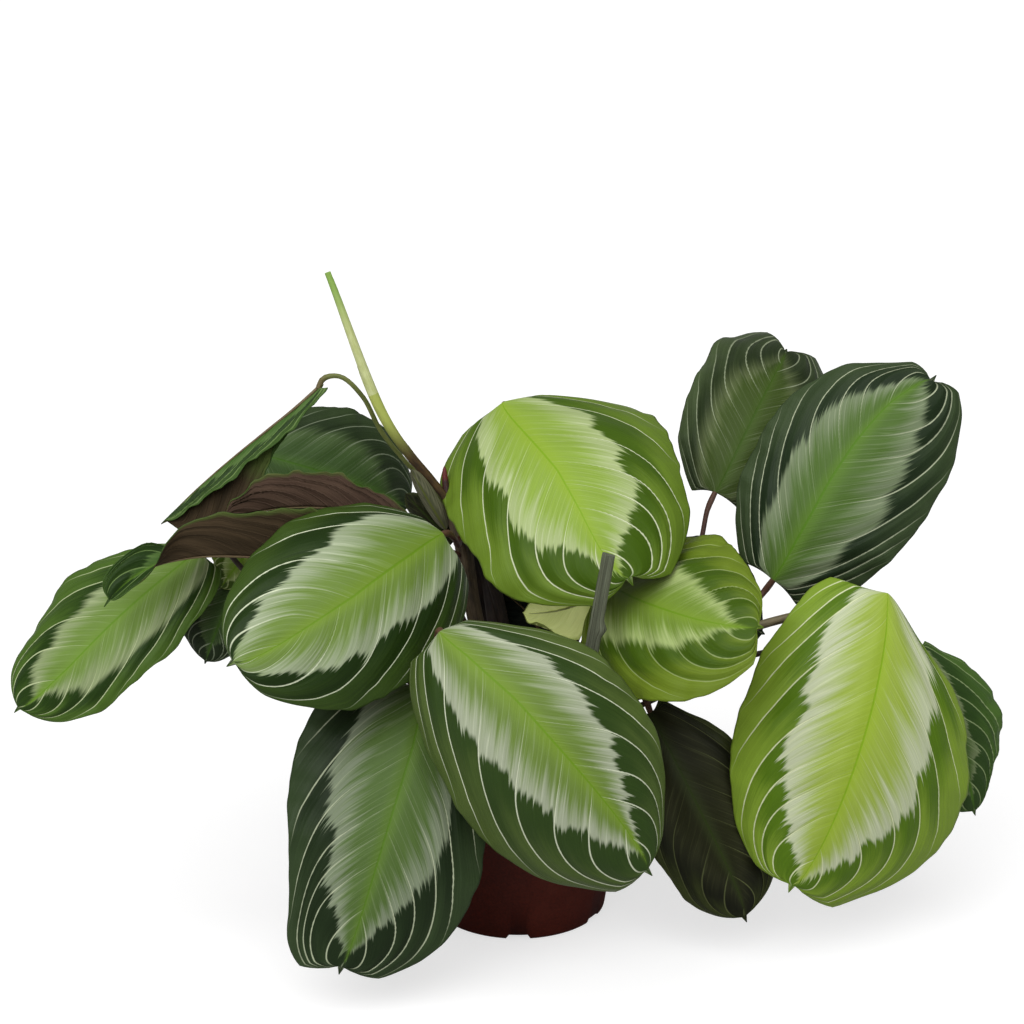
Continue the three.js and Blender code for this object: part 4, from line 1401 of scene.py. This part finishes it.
# %% The lower left leaf
grow_leaf("lower_left", (-42, -60, 137), (-81, -118, 22), (-0.1, -0.95, 0.2),
          half(45, curl=-20, full=3.6, end=0.1, peak=0.8,
               veins=(-0.28, 0, 0.23, 0.4, 0.5, 0.6),
               band=((-0.08, 0.62), (0.03, 0.67), (0.12, 0.62), (0.22, 0.62), (0.33, 0.53),
                     (0.42, 0.46), (0.48, 0.48), (0.54, 0.43), (0.61, 0.35), (0.74, 0.25),
                     (0.84, 0.15), (0.92, 0.06)),
               trim=((0, 1), (0.1, 1.08), (0.2, 1.15), (0.3, 1.13), (0.4, 1.1), (0.5, 1.06),
                     (0.6, 0.94), (0.7, 0.84), (0.8, 0.83), (0.88, 0.94), (0.95, 1.15), (1, 1.1))),
          half(46, full=2.6, end=0.06, veins=(-0.29, -0.09, 0.17, 0.33, 0.5, 0.62),
               band=((0.11, 0.57), (0.15, 0.61), (0.22, 0.55), (0.38, 0.57), (0.47, 0.49),
                     (0.54, 0.43), (0.6, 0.37), (0.68, 0.3), (0.78, 0.22), (0.9, 0.06)),
               trim=((0, 1), (0.3, 1.02), (0.45, 1.08), (0.55, 1.12), (0.7, 1.16), (0.8, 1.18),
                     (0.9, 1.16), (0.95, 1.02), (1, 1))),
          [(-14, -16), (-28, -28, 112), (-37, -42, 134)], 1.8, "deep",
          rise=10, nod=8, seed=22, midline=((0, 0), (0.2, -0.06), (1, -0.07)), look=dict(start=0.46))

# %% The far left leaf
grow_leaf("far_left", (-151, -10, 188), (-236, -40, 117), (-0.2, -0.7, 0.7),
          half(37, peak=1.35, lobe=0.02, end=0.03, veins=(-0.1, 0.14, 0.41, 0.58, 0.78),
               band=((0, 0.5), (0.43, 0.43), (0.55, 0.35), (0.61, 0.37), (0.67, 0.33),
                     (0.77, 0.21), (0.88, 0.05)),
               trim=((0, 1), (0.3, 1.06), (0.42, 1.1), (0.55, 1), (0.62, 0.93), (0.7, 0.8),
                     (0.8, 0.78), (0.87, 0.85), (0.93, 1), (1, 1))),
          half(38, veins=(-0.19, 0.03, 0.25, 0.49, 0.66),
               band=((0, 0.56), (0.3, 0.55), (0.5, 0.54), (0.62, 0.37), (0.75, 0.2), (0.88, 0.03)),
               trim=((0, 1), (0.1, 0.93), (0.2, 0.88), (0.3, 0.91), (0.6, 0.91), (0.7, 0.95),
                     (0.8, 1), (1, 1))),
          [(-24, -8), (-60, -12, 128), (-105, -14, 163), (-127, -15, 177)], 1.5, "leafy",
          rise=7, nod=7, seed=23, skin=BROWN_STALK, look=dict(soft=0.05, fade=0.7),
          midline=((0, -0.1), (0.1, -0.1), (0.4, -0.15), (0.7, -0.2), (1, -0.2)))

# %% The folded leaves
grow_leaf("folded_low", (-85, -28, 193), (-188, -60, 177), (-0.2, 0.1, 1),
          half(26, fold=10,
               trim=((0, 1), (0.55, 1), (0.72, 0.6), (0.85, 0.45), (0.93, 0.9), (1, 1.1))),
          half(20, fold=62, curl=10, full=3.2, peak=0.7,
               trim=((0, 1.1), (0.1, 1.3), (0.3, 1.25), (0.5, 1.06), (0.62, 0.95), (0.74, 0.65),
                     (0.85, 0.42), (0.93, 0.9), (1, 1.1))),
          [(-17, -4), (-38, -8, 140), (-62, -18, 178)], 1.5, "fold",
          rise=0, nod=14, seed=24, under="umber", twist=80, twist_from=(0.62, 0.85), slot="leaf_purple")
grow_leaf("folded_mid", (-58, -12, 201), (-137, -29, 209), (0, 0.1, 1),
          half(15, fold=10),
          half(20, fold=62, curl=10, trim=((0, 0.9), (0.15, 0.75), (0.4, 0.86), (0.5, 1), (1, 1))),
          [(-25.5, 6, 178), (-38, 0, 186)], 1.4, "fold",
          rise=5, nod=4, seed=25, wave=2.2, slot="leaf_purple", on_stem=True)
grow_leaf("folded_high", (-94, 7, 262), (-166, -22, 204), (-0.5, 0.35, 0.8),
          half(26, fold=-70, curl=-20, peak=1.9,
               trim=((0, 0.5), (0.1, 0.35), (0.3, 0.34), (0.45, 0.6), (0.6, 1), (0.8, 1.25),
                     (1, 1.3))),
          half(10, fold=-50, curl=-20),
          [(-29.7, 9.5, 195), (-40, 16, 208), (-53, 13, 223), (-65, 10, 240), (-73, 8, 257),
           (-83, 7, 267)], 1.3, "fold",
          rise=0, nod=2, seed=26, under="umber", far=5, lift=-0.25, on_stem=True, skin=GREEN_STALK,
          look=dict(green_base=0.45))

# %% Smaller leaves at the left
grow_leaf("rear_left", (-122, 38, 219), (-54, 64, 184), (-0.1, -0.8, 0.5),
          half(36),
          half(41, end=0.12,
               trim=((0, 0.95), (0.3, 0.95), (0.5, 0.98), (0.7, 1), (0.9, 1.06), (1, 1.1))),
          [(-14, 10), (-30, 20, 134), (-54, 40, 160), (-80, 60, 173), (-106, 63, 190),
           (-118, 53, 208)], 1.5, "dusk",
          rise=6, nod=6, seed=27, back=0.2, lift=1, far=6, look=dict(soft=0.1, vein=0.6))
grow_leaf("small_left", (-131, 5, 172), (-150, -8, 129), (-0.1, -0.95, 0.3),
          half(22, peak=1.4), half(16), [(-24, 8), (-58, 10, 122)], 1.3, "dusk", seed=28,
          skin=BROWN_STALK)
grow_leaf("tiny_left", (-123, 4, 187), (-142, -2, 165), (-0.1, -0.95, 0.3),
          half(15), half(12), [(-22, 1), (-56, 0, 128), (-90, 3, 165)], 1.3, "bright", seed=29)

# %% [markdown]
# ## Leaves on the right
# Two dark leaves stand up at the back, one hangs at the far right and one
# hangs in the shade beside the pot.

# %% The dark leaf at the back
grow_leaf("upper_right_rear", (96, 40, 200), (136, 106, 255), (-0.1, -0.85, 0.5),
          half(40, end=0.24, trim=((0, 1), (0.4, 1), (0.7, 1.1), (0.85, 1.08), (1, 1))),
          half(38, end=0.38, veins=(-0.2, -0.03, 0.18, 0.34, 0.56, 0.68),
               trim=((0, 0.75), (0.1, 0.8), (0.2, 0.9), (0.5, 0.95), (0.65, 1.02), (0.75, 1.14),
                     (0.85, 1.38), (0.92, 1.4), (1, 1.1))),
          [(12, 15), (40, 15, 128), (70, 15, 154), (87, 25, 175)],
          1.4, "gloom", rise=8, nod=8, seed=31, midline=((0, 0.05), (1, 0.05)), wave=2.2,
          look=dict(soft=0.16, vein=0.8, start=0.55, fade=1.1))

# %% The upper right leaf
grow_leaf("upper_right", (122, 5, 167), (201, 40, 259), (-0.1, -0.9, 0.4),
          half(42, end=0.1, veins=(-0.3, -0.18, -0.07, 0.1, 0.3, 0.5, 0.62),
               band=((-0.13, 0.51), (-0.09, 0.56), (0.09, 0.53), (0.14, 0.6), (0.2, 0.59),
                     (0.3, 0.5), (0.37, 0.55), (0.49, 0.49), (0.56, 0.46), (0.61, 0.42),
                     (0.7, 0.35), (0.8, 0.25), (0.9, 0.1)),
               trim=((0, 1), (0.1, 1.02), (0.3, 1), (0.5, 0.98), (0.7, 0.98), (0.8, 0.97),
                     (0.9, 0.96), (1, 0.9))),
          half(50, end=0.08, veins=(-0.22, -0.09, 0.09, 0.32, 0.5, 0.62),
               band=((-0.1, 0.44), (-0.04, 0.49), (0.09, 0.45), (0.16, 0.49), (0.23, 0.54),
                     (0.32, 0.47), (0.39, 0.53), (0.48, 0.49), (0.54, 0.45), (0.6, 0.4),
                     (0.7, 0.33), (0.8, 0.24), (0.9, 0.1)),
               trim=((0, 0.93), (0.05, 0.94), (0.15, 1), (0.5, 1.05), (0.6, 1.07), (0.8, 1.08),
                     (0.86, 0.98), (0.92, 0.8), (1, 0.65))),
          [(22, 4), (64, 8, 122), (100, 4, 150), (113, 1, 157)], 1.6, "slate",
          rise=8, nod=8, seed=32, wave=2.2, look=dict(soft=0.04),
          midline=((0, 0), (0.15, -0.06), (0.27, -0.1), (0.43, -0.16), (0.6, -0.2), (0.8, -0.22),
                   (0.93, -0.18), (1, -0.14)))

# %% Hanging leaves at the right
grow_leaf("far_right", (191, -2, 134), (220, -24, 57), (0.3, -0.9, 0.3),
          half(30),
          half(30, veins=(-0.2, 0.05, 0.2, 0.35, 0.48, 0.62),
               band=((0, 0.35), (0.3, 0.3), (0.47, 0.25), (0.51, 0.38), (0.6, 0.25), (0.8, 0.03)),
               trim=((0, 0.6), (0.1, 0.78), (0.2, 0.96), (0.3, 1.08), (0.55, 1.12), (0.7, 0.97),
                     (0.8, 0.82), (0.88, 0.6), (1, 0.7))),
          [(18, -15), (60, -8, 108), (108, -3, 130), (135, -1, 135)],
          1.6, "moss", rise=6, nod=6, seed=33, wave=2.0, skin=BROWN_STALK)
grow_leaf("shaded", (62, -37, 116), (108, -59, 18), (0, -0.95, 0.3),
          half(34, lobe=0.02, veins=(-0.28, -0.1, 0.12, 0.33, 0.58),
               trim=((0, 1), (0.5, 0.88), (0.65, 0.82), (0.75, 0.86), (0.85, 0.95), (1, 1))),
          half(40, lobe=0.08,
               trim=((0, 0.35), (0.04, 0.4), (0.1, 0.62), (0.2, 0.82), (0.3, 0.87), (1, 1))),
          [(8, -19), (32, -26, 112), (50, -27, 124)],
          1.5, "shade", rise=8, nod=6, seed=34, midline=((0, 0), (1, -0.1)), look=dict(soft=0.2))

# %% [markdown]
# ## Small leaves inside, and the rear leaves
# A pale young leaf shows its underside left of the stake, with a painted
# glow, and two dark ones fill the middle. The centre one is painted shade:
# the shade palette over a near-black underside. Two leaves hang over the
# back of the pot, out of sight from the front.

# %% Inner and rear leaves
grow_leaf("pale_centre", (33, 0, 160), (2, -13, 157), (-0.1, 0.95, 0.3),
          half(19, trim=((0, 1), (0.35, 1), (0.55, 0.68), (0.75, 0.35), (0.9, 0.4), (1, 1))),
          half(19),
          [(15, 3), (26, 4, 120), (36, 3, 148)], 1.4, "pale", rise=-2, nod=-2, under="young", seed=41)
# The centre leaf: painted shade, in the shade palette with a near-black underside.
grow_leaf("dark_centre", (13, 12, 134), (-9, 20, 156), (0, 0.95, 0.3),
          half(16), half(13), [(4, 8), (8, 10, 105)], 1.4, "shade", under="dark", seed=42)
grow_leaf("dark_right", (59, 22, 156), (121, 24, 132), (0.2, -0.9, 0.4),
          half(24), half(40), [(20, 12), (38, 18, 125)], 1.4, "deep", seed=43)
grow_leaf("back_right", (24, 36, 166), (30, 128, 132), (0, 0.45, 0.9),
          half(36), half(36), [(4, 20), (12, 26, 125)], 1.5, "fresh", rise=8, nod=8, seed=44)
grow_leaf("back_left", (-34, 36, 148), (-72, 122, 120), (-0.1, 0.4, 0.9),
          half(36), half(36), [(-6, 20), (-18, 27, 118)], 1.5, "green", rise=8, nod=8, seed=45)

blades = [o.name for o in scene.objects if o.name.endswith("_blade")]
print("leaves grown:", len(blades))

# %% [markdown]
# ## Stems
# The two stems are bundles of old stalk sheaths, which have dried to brown.
# A smooth tube would look like wire, so the section has shallow ribs that
# wind a little, and the skin is the streaked one of the stalks. The centre
# stem's skin is darkened to near black: painted shade for the shadow
# between the stems.

# %% Stems
STEM_SKIN = fibre_material("stem_skin", (44, 35, 24), (108, 92, 66), seed=5.0, roughness=0.7)
# The second skin is near black: painted shade between the stems, over the dark brown of dried sheaths.
DARK_SKIN = fibre_material("shaded_stem_skin", (16, 10, 9), (58, 44, 34), seed=6.0, roughness=0.7)
RIB_WIND = 5
END_FROM, END_PULL = 1.02, 20
STEM_SIDES = 28


def ridged(radius, ribs, depth):
    """A section with shallow lengthwise ribs, drawn in at its very end."""
    def section(share, angle):
        end = min(1.0, (END_FROM - share) * END_PULL)
        return radius * (1 + depth * math.sin(ribs * angle + RIB_WIND * share)) * end
    return section


stem_left = smooth_path([(-8, -7, 79), (-8, -7, 91), (-16, -5, 125), (-22, 2, 155), (-28, 9, 190),
                         (-34, 10, 205)], 60)
stem_centre = smooth_path([(-4, 4, 79), (-4, 4, 91), (-9, 9, 130), (-13, 15, 160),
                           (-16, 19, 178)], 48)
add_piece("stem_left_bark", roll_tube(stem_left, ridged(3.8, 5, 0.1), STEM_SIDES), [STEM_SKIN],
          ["stem_left"], "brown_stem")
add_piece("stem_centre_bark", roll_tube(stem_centre, ridged(4.2, 6, 0.1), STEM_SIDES), [DARK_SKIN],
          ["stem_centre"], "brown_stem")
print("stems:", [round(float(path_length(path))) for path in (stem_left, stem_centre)], "mm long")

# %% [markdown]
# ## Old sheaths
# Old sheaths cling to the stems: a dark bundle behind them, one right of the
# centre stem, and a red one at the top of the left stem. The first two wear
# the near-black skin of the centre stem, painted shade that fills the shadow
# between the stems. The frame has no node for them, so they replace none.
# Each is a tube like a stem, with fewer and deeper ribs.

# %% Old sheaths
RED_SKIN = fibre_material("red_skin", (26, 8, 8), (66, 22, 20), end=(96, 26, 24), end_from=0.8,
                          seed=8.0)
POINT_RADIUS, POINTED_SWELL, POINTED_TAPER = 0.3, 2.7, 0.45


def pointed(share, angle):
    """A section that narrows to a blunt point."""
    return POINT_RADIUS + POINTED_SWELL * (1 - share) ** POINTED_TAPER


bundle = smooth_path([(-4, 14, 83), (-8, 18, 120), (-15, 19, 150), (-22, 17, 178),
                      (-27, 14, 196)], 40)
rear_sheath = smooth_path([(1, 5, 83), (-2, 6, 110), (-5, 8, 130), (-10, 11, 155),
                           (-15, 13, 174)], 40)
red_sheath = smooth_path([(-28, 9, 184), (-32.6, 10, 203), (-34.6, 12, 213), (-35.2, 14, 221)], 30)
old_sheaths = (
    ("sheath_bundle", bundle, ridged(5.6, 4, 0.16), STEM_SIDES, DARK_SKIN),
    ("rear_sheath", rear_sheath, ridged(2.8, 3, 0.12), 24, DARK_SKIN),
    ("red_sheath", red_sheath, pointed, 20, RED_SKIN),
)
for name, path, section, sides, skin in old_sheaths:
    add_piece(name, roll_tube(path, section, sides), [skin], [], "brown_stem")
print("old sheaths:", len(old_sheaths))

# %% [markdown]
# ## The rolled shoot
# A new leaf comes up rolled: a slim tube, widest near its middle, with its
# free edge winding up it. The step in its radius follows that edge. Its
# colour changes three times on the way up, more than one skin can show, so it
# is made as two tubes that share one path and one set of frames.

# %% Rolled shoot
SHOOT_FOOT = fibre_material("shoot_foot", (44, 30, 16), (92, 68, 36), end=(180, 190, 94),
                            end_from=0.42, end_soft=0.42, seed=9.0, long=3.0)
SHOOT_SKIN = fibre_material("shoot_skin", (188, 196, 122), (218, 224, 164), end=(146, 184, 84),
                            end_from=0.45, end_soft=0.5, seed=9.0, long=3.0)
SHOOT_GIRTH = ((0, 1.8), (0.15, 2.1), (0.28, 2.3), (0.4, 2.45), (0.55, 2.5), (0.65, 2.3),
               (0.75, 2.05), (0.92, 1.6), (1, 1.45))
SHOOT_RINGS = 100
SHOOT_TURN = 52  # the ring where the foot's colour ends
SHOOT_WINDING = 1.5
SHOOT_LEAST, SHOOT_STEP = 0.93, 0.14
SHOOT_SIDES = 32

shoot_path = smooth_path([(-33.6, 10, 203), (-34.4, 10, 205.8), (-41.5, 9, 216), (-52, 6, 230),
                          (-64, 3, 251), (-88, 6, 317)], SHOOT_RINGS)
shoot_frames = path_frames(shoot_path)


def shoot_girth(climb, angle):
    """The roll's radius, with a step where its free edge winds up it."""
    step = ((angle / (2 * math.pi) + SHOOT_WINDING * climb) % 1.0) * SHOOT_STEP
    return rounded_polyline(SHOOT_GIRTH, climb) * (SHOOT_LEAST + step)


def add_shoot_part(name, first, last, skin, nodes):
    """The part of the shoot between two of its rings."""
    def section(share, angle):
        return shoot_girth((first + share * (last - first)) / (SHOOT_RINGS - 1), angle)

    tube = roll_tube(shoot_path[first:last + 1], section, SHOOT_SIDES, shoot_frames[first:last + 1])
    add_piece(name, tube, [skin], nodes, "pale_shoot")


add_shoot_part("rolled_shoot_foot", 0, SHOOT_TURN, SHOOT_FOOT, ["shoot"])
add_shoot_part("rolled_shoot_top", SHOOT_TURN, SHOOT_RINGS - 1, SHOOT_SKIN, [])
print("shoot:", round(float(path_length(shoot_path))), "mm long")

# %% [markdown]
# ## Dry sheaths
# Two flat, dry sheaths stand beside the left stem, one behind the other.
# The rear one takes the shade palette: its near-black colour is painted
# shade for the shadow behind the stem. They are shaped like narrow leaves,
# so they are grown as small blades without a stalk.

# %% Dry sheaths
dry_plan = blade_plan((-34.5, 6, 192), (-51, 5, 223), (-0.2, -0.95, 0.3),
                      half(5.2, fold=-10, curl=-40, lobe=0), half(3.8, fold=-10, curl=-40, lobe=0),
                      rise=1, nod=1, seed=51, puff=0, groove=0, wave=0.3)
dry_materials = leaf_materials("dry_sheath", "dry", "dry", 51, 4.5, start=0.5, vein=0.3, soft=0.3)
add_blade("dry_sheath", dry_plan, dry_materials, "buff_sheath", ["sheath_left"])
# The rear sheath, coloured as painted shade.
dark_plan = blade_plan((-31, 12, 184), (-54, 13, 208), (-0.3, -0.9, 0.3),
                       half(8, fold=-10, curl=-40), half(8, fold=-10, curl=-40),
                       rise=1, nod=1, seed=52, puff=0, groove=0, wave=0.8)
dark_materials = leaf_materials("shaded_sheath", "shade", "purple", 52, 8, start=0.5, vein=0.2,
                                soft=0.3)
add_blade("shaded_sheath", dark_plan, dark_materials, "buff_sheath", [])

# %% [markdown]
# ## Stake
# The stake is a flat split of grey weathered wood with a knot near its top.
# A bevelled box would be too clean. A tube whose section is a rounded
# rectangle can swell at the knot, taper upwards and be worn by a noise.

# %% Stake
STAKE_FOOT = Vector((23, -44, 80))
STAKE_TOP = Vector((40, -74, 207))
STAKE_WIDTH = 5.9
STAKE_THICKNESS = 2.0
STAKE_RINGS = 60
STAKE_CORNERS = 6
STAKE_SIDES = 40
STAKE_WEAR = 0.07
WEAR_ROUND, WEAR_ALONG = 2, 40
FOOT_TAPER, TOP_TAPER = 1.12, 0.26
KNOT_PLACE, KNOT_LENGTH, KNOT_HEIGHT = 0.7, 0.022, 2.0

stake_path = np.array([STAKE_FOOT.lerp(STAKE_TOP, k / STAKE_RINGS)
                       for k in range(STAKE_RINGS + 1)])


def stake_section(share, angle):
    """A rounded rectangle that the noise wears down, with a knot near the top."""
    c, s = math.cos(angle), math.sin(angle)
    wide, thick = abs(c) / (STAKE_WIDTH / 2), abs(s) / (STAKE_THICKNESS / 2)
    radius = (wide ** STAKE_CORNERS + thick ** STAKE_CORNERS) ** (-1 / STAKE_CORNERS)
    worn = noise.noise(Vector((c * WEAR_ROUND, s * WEAR_ROUND, share * WEAR_ALONG)))
    knot = KNOT_HEIGHT * math.exp(-((share - KNOT_PLACE) / KNOT_LENGTH) ** 2) * max(-c, 0) ** 2
    taper = FOOT_TAPER - TOP_TAPER * max(share - 0.5, 0)
    return radius * taper * (1 + STAKE_WEAR * worn) + knot


stake_tube = roll_tube(stake_path, stake_section, STAKE_SIDES)
print("stake:", round((STAKE_TOP - STAKE_FOOT).length), "mm long")

# %% [markdown]
# ## Weathered wood
# Weathered wood is grey where the sun and rain have bleached it, and darker
# in its cracks. The fibres group gives both: its streaks at high contrast for
# the grain, and only their lowest parts for the cracks.

# %% Weathered wood
stake_grey, w, shader = new_material("stake_grey", 0.85)
out = w.use(fibres, Seed=2.0, Long=3.0, Fine=10.0, Contrast=1.4)
cracks = w.step(out["Streaks"], 0.42, 0.3)
colour = w.mix(w.step(out["Streaks"], 0.3, 0.75), paint(86, 92, 70), paint(138, 146, 122))
colour = w.mix(w.mul(out["Blotches"], 0.5), colour, paint(92, 92, 72))
colour = w.mix(w.mul(cracks, 0.7), colour, paint(34, 34, 28))
w.put(shader["Base Color"], colour)
w.put(shader["Normal"], w.bump(out["Streaks"], 0.8, 0.0006))
add_piece("weathered_stake", stake_tube, [stake_grey], ["stake"], "weathered_stake")
print("stake material:", len(stake_grey.node_tree.nodes), "nodes")

# %% [markdown]
# ## Pot
# A thin moulded nursery pot is round in every way but its foot. So one
# profile, from the centre of the base up the wall, over the rolled rim and
# down inside, is spun into a shell. Then six drainage notches are pushed up
# into the foot.

# %% Pot
POT_STEPS = 180
POT_PROFILE = [
    (0.0, 0.0), (20, 0.0), (32, 0.0), (40.6, 0.0), (42.2, 0.5), (42.9, 1.5), (43.2, 3.0),
    (46.0, 22.0), (49.5, 44.0), (52.8, 64.0), (55.9, 80.0), (56.4, 81.0), (58.6, 82.4),
    (59.3, 83.4), (59.5, 88.0), (59.8, 93.4), (59.9, 94.4), (59.4, 95.0), (58.7, 94.9),
    (58.3, 94.0), (57.4, 84.6), (54.7, 81.0), (51.3, 64.0), (41.6, 5.0), (40.2, 3.6), (0.0, 3.5),
]
NOTCHES = 6
NOTCH_HALF_ANGLE = math.radians(6.2)
NOTCH_LIFT = 2.1
NOTCH_FROM, FOOT_EDGE, FOOT_HEIGHT = 33, 42.8, 2
EDGE_LIFT_SHARE = 0.8


def spin_profile(profile, steps):
    """A closed shell: a profile of radius and height in mm, spun about the upright axis."""
    bm = bmesh.new()
    points = [bm.verts.new((r * MM, 0, z * MM)) for r, z in profile]
    edges = [bm.edges.new(pair) for pair in zip(points, points[1:])]
    bmesh.ops.spin(bm, geom=points + edges, cent=(0, 0, 0), axis=(0, 0, 1), angle=2 * math.pi,
                   steps=steps, use_merge=True)
    bmesh.ops.remove_doubles(bm, verts=bm.verts, dist=WELD)
    return bm


pot_shell = spin_profile(POT_PROFILE, POT_STEPS)
half_gap = math.pi / NOTCHES
for vert in pot_shell.verts:
    radius = math.hypot(vert.co.x, vert.co.y) / MM
    turn = math.atan2(vert.co.y, vert.co.x) + math.pi / 2
    off = abs((turn + half_gap) % (2 * half_gap) - half_gap)
    if radius > NOTCH_FROM and vert.co.z < FOOT_HEIGHT * MM and off < NOTCH_HALF_ANGLE:
        vert.co.z += NOTCH_LIFT * MM * (EDGE_LIFT_SHARE if radius > FOOT_EDGE else 1.0)
bmesh.ops.recalc_face_normals(pot_shell, faces=pot_shell.faces)
print("pot profile points:", len(POT_PROFILE))

# %% [markdown]
# ## Pot plastic
# The plastic is a dull brown-red with a fine speckle, faint moulding rings
# and a little pale dust. It has no map of its own, so its noises read Object
# coordinates, and the rings read only the height.

# %% Pot plastic
pot_red, w, shader = new_material("pot_red", 0.5)
place = w.object_place()
speckle = w.noise(place, scale=900.0, detail=3.0)
cloud = w.noise(place, scale=30.0, detail=3.0)
height = w.parts(place)[2]
rings = w.noise(w.vector(0.0, 0.0, height), scale=700.0, detail=1.0)
tone = w.add(w.mul(speckle, 0.5), w.mul(cloud, 0.6))
colour = w.mix(w.step(tone, 0.35, 0.8), paint(60, 16, 6), paint(84, 26, 12))
dust = w.mul(w.step(cloud, 0.52, 0.75), 0.25)
colour = w.mix(dust, colour, paint(92, 44, 32))
w.put(shader["Base Color"], colour)
w.put(shader["Roughness"], w.blend(cloud, 0.5, 0.7))
shader["Specular IOR Level"].default_value = 0.2
relief = w.add(w.mul(speckle, 0.4), rings)
w.put(shader["Normal"], w.bump(relief, 0.25, 0.0003))
add_piece("nursery_pot", pot_shell, [pot_red], ["pot"], "pot_plastic")
print("pot material:", len(pot_red.node_tree.nodes), "nodes")

# %% [markdown]
# ## Soil
# The soil is a dark peat mix with an uneven top. Like the pot it is a spun
# profile, with a ring every 2 mm on top, so that a coarse noise and a fine
# one can lift its points into clods.

# %% Soil
SOIL_STEPS = 120
RING_SPACING = 2
SOIL_RADIUS = 55.5
SOIL_SIDE = [(55.2, 82.5), (53.9, 79.5), (41, 4.2), (0, 4.0)]
ROUGH_HEIGHT, CLOD_HEIGHT, SETTLING = 1.6, 0.7, 0.6
ROUGH_SCALE, CLOD_SCALE = 90, 350

ring_radii = [*range(0, int(SOIL_RADIUS), RING_SPACING), SOIL_RADIUS]
soil_profile = [(r, SOIL_TOP) for r in ring_radii] + SOIL_SIDE
soil_ball = spin_profile(soil_profile, SOIL_STEPS)
for vert in soil_ball.verts:
    if vert.co.z > (SOIL_TOP - 0.5) * MM:
        rough = noise.fractal(vert.co * ROUGH_SCALE, 1.0, 2.2, 4)
        clods = noise.noise(vert.co * CLOD_SCALE)
        vert.co.z += (ROUGH_HEIGHT * rough + CLOD_HEIGHT * clods - SETTLING) * MM
bmesh.ops.recalc_face_normals(soil_ball, faces=soil_ball.faces)
print("soil rings:", len(ring_radii))

# %% [markdown]
# ## Peat, bark and perlite
# The three matters of the mix differ in colour and in the size of their
# grain, so one function makes them. It reads Object coordinates, since
# crumbs have no map.

# %% Peat, bark and perlite


def soil_material(name, low, high, scale):
    """A rough, grainy matter between two colours."""
    material, w, shader = new_material(name, 0.95)
    grain = w.noise(w.object_place(), scale=scale, detail=6.0, roughness=0.7)
    colour = w.mix(w.step(grain, 0.35, 0.7), paint(*low), paint(*high))
    w.put(shader["Base Color"], colour)
    w.put(shader["Normal"], w.bump(grain, 0.9, 0.001))
    return material


PEAT = soil_material("peat", (26, 20, 15), (66, 50, 38), 420.0)
BARK = soil_material("bark_chips", (56, 38, 24), (104, 76, 50), 600.0)
PERLITE = soil_material("perlite", (168, 166, 158), (226, 224, 216), 900.0)
add_piece("peat_surface", soil_ball, [PEAT], ["soil"], "potting_soil")
print("soil materials:", [material.name for material in (PEAT, BARK, PERLITE)])

# %% [markdown]
# ## Crumbs
# Crumbs, bark chips and a few white specks of perlite lie on the soil. Each
# kind is one piece of many small balls, turned, squashed and roughened. A
# ball of few faces is enough at this size. A fixed seed puts each grain in
# the same place every time, and only its roughness differs from run to run.

# %% Crumbs
CRUMB_REACH = 54
CRUMB_ROUGHNESS = 0.0003
ROUGHNESS_SCALE = 900
CRUMB_SEED = 4

rng = random.Random(CRUMB_SEED)


def scatter(name, material, count, low, high, flat):
    """Crumbs on the soil, from low to high mm in size and as flat as the last share says."""
    bm = bmesh.new()
    for _ in range(count):
        reach, turn = CRUMB_REACH * math.sqrt(rng.random()), rng.uniform(0, 2 * math.pi)
        size = rng.uniform(low, high)
        spin = Matrix.Rotation(rng.uniform(0, 6.28), 4, Vector((rng.random(), rng.random(), 1)))
        squash = Matrix.Diagonal((size, size * rng.uniform(0.5, 1), size * flat, 1))
        place = Vector((reach * math.cos(turn), reach * math.sin(turn), SOIL_TOP + size * 0.25))
        bmesh.ops.create_icosphere(bm, subdivisions=1, radius=MM,
                                   matrix=Matrix.Translation(place * MM) @ spin @ squash)
    for vert in bm.verts:
        vert.co += noise.noise_vector(vert.co * ROUGHNESS_SCALE) * CRUMB_ROUGHNESS
    add_piece(name, bm, [material], [], "potting_soil")
    print(name, count)


scatter("peat_crumbs", PEAT, 420, 0.6, 1.9, 0.8)
scatter("bark_bits", BARK, 60, 1.2, 2.8, 0.35)
scatter("perlite_grains", PERLITE, 45, 0.5, 1.1, 0.9)

# %% [markdown]
# ## Finish
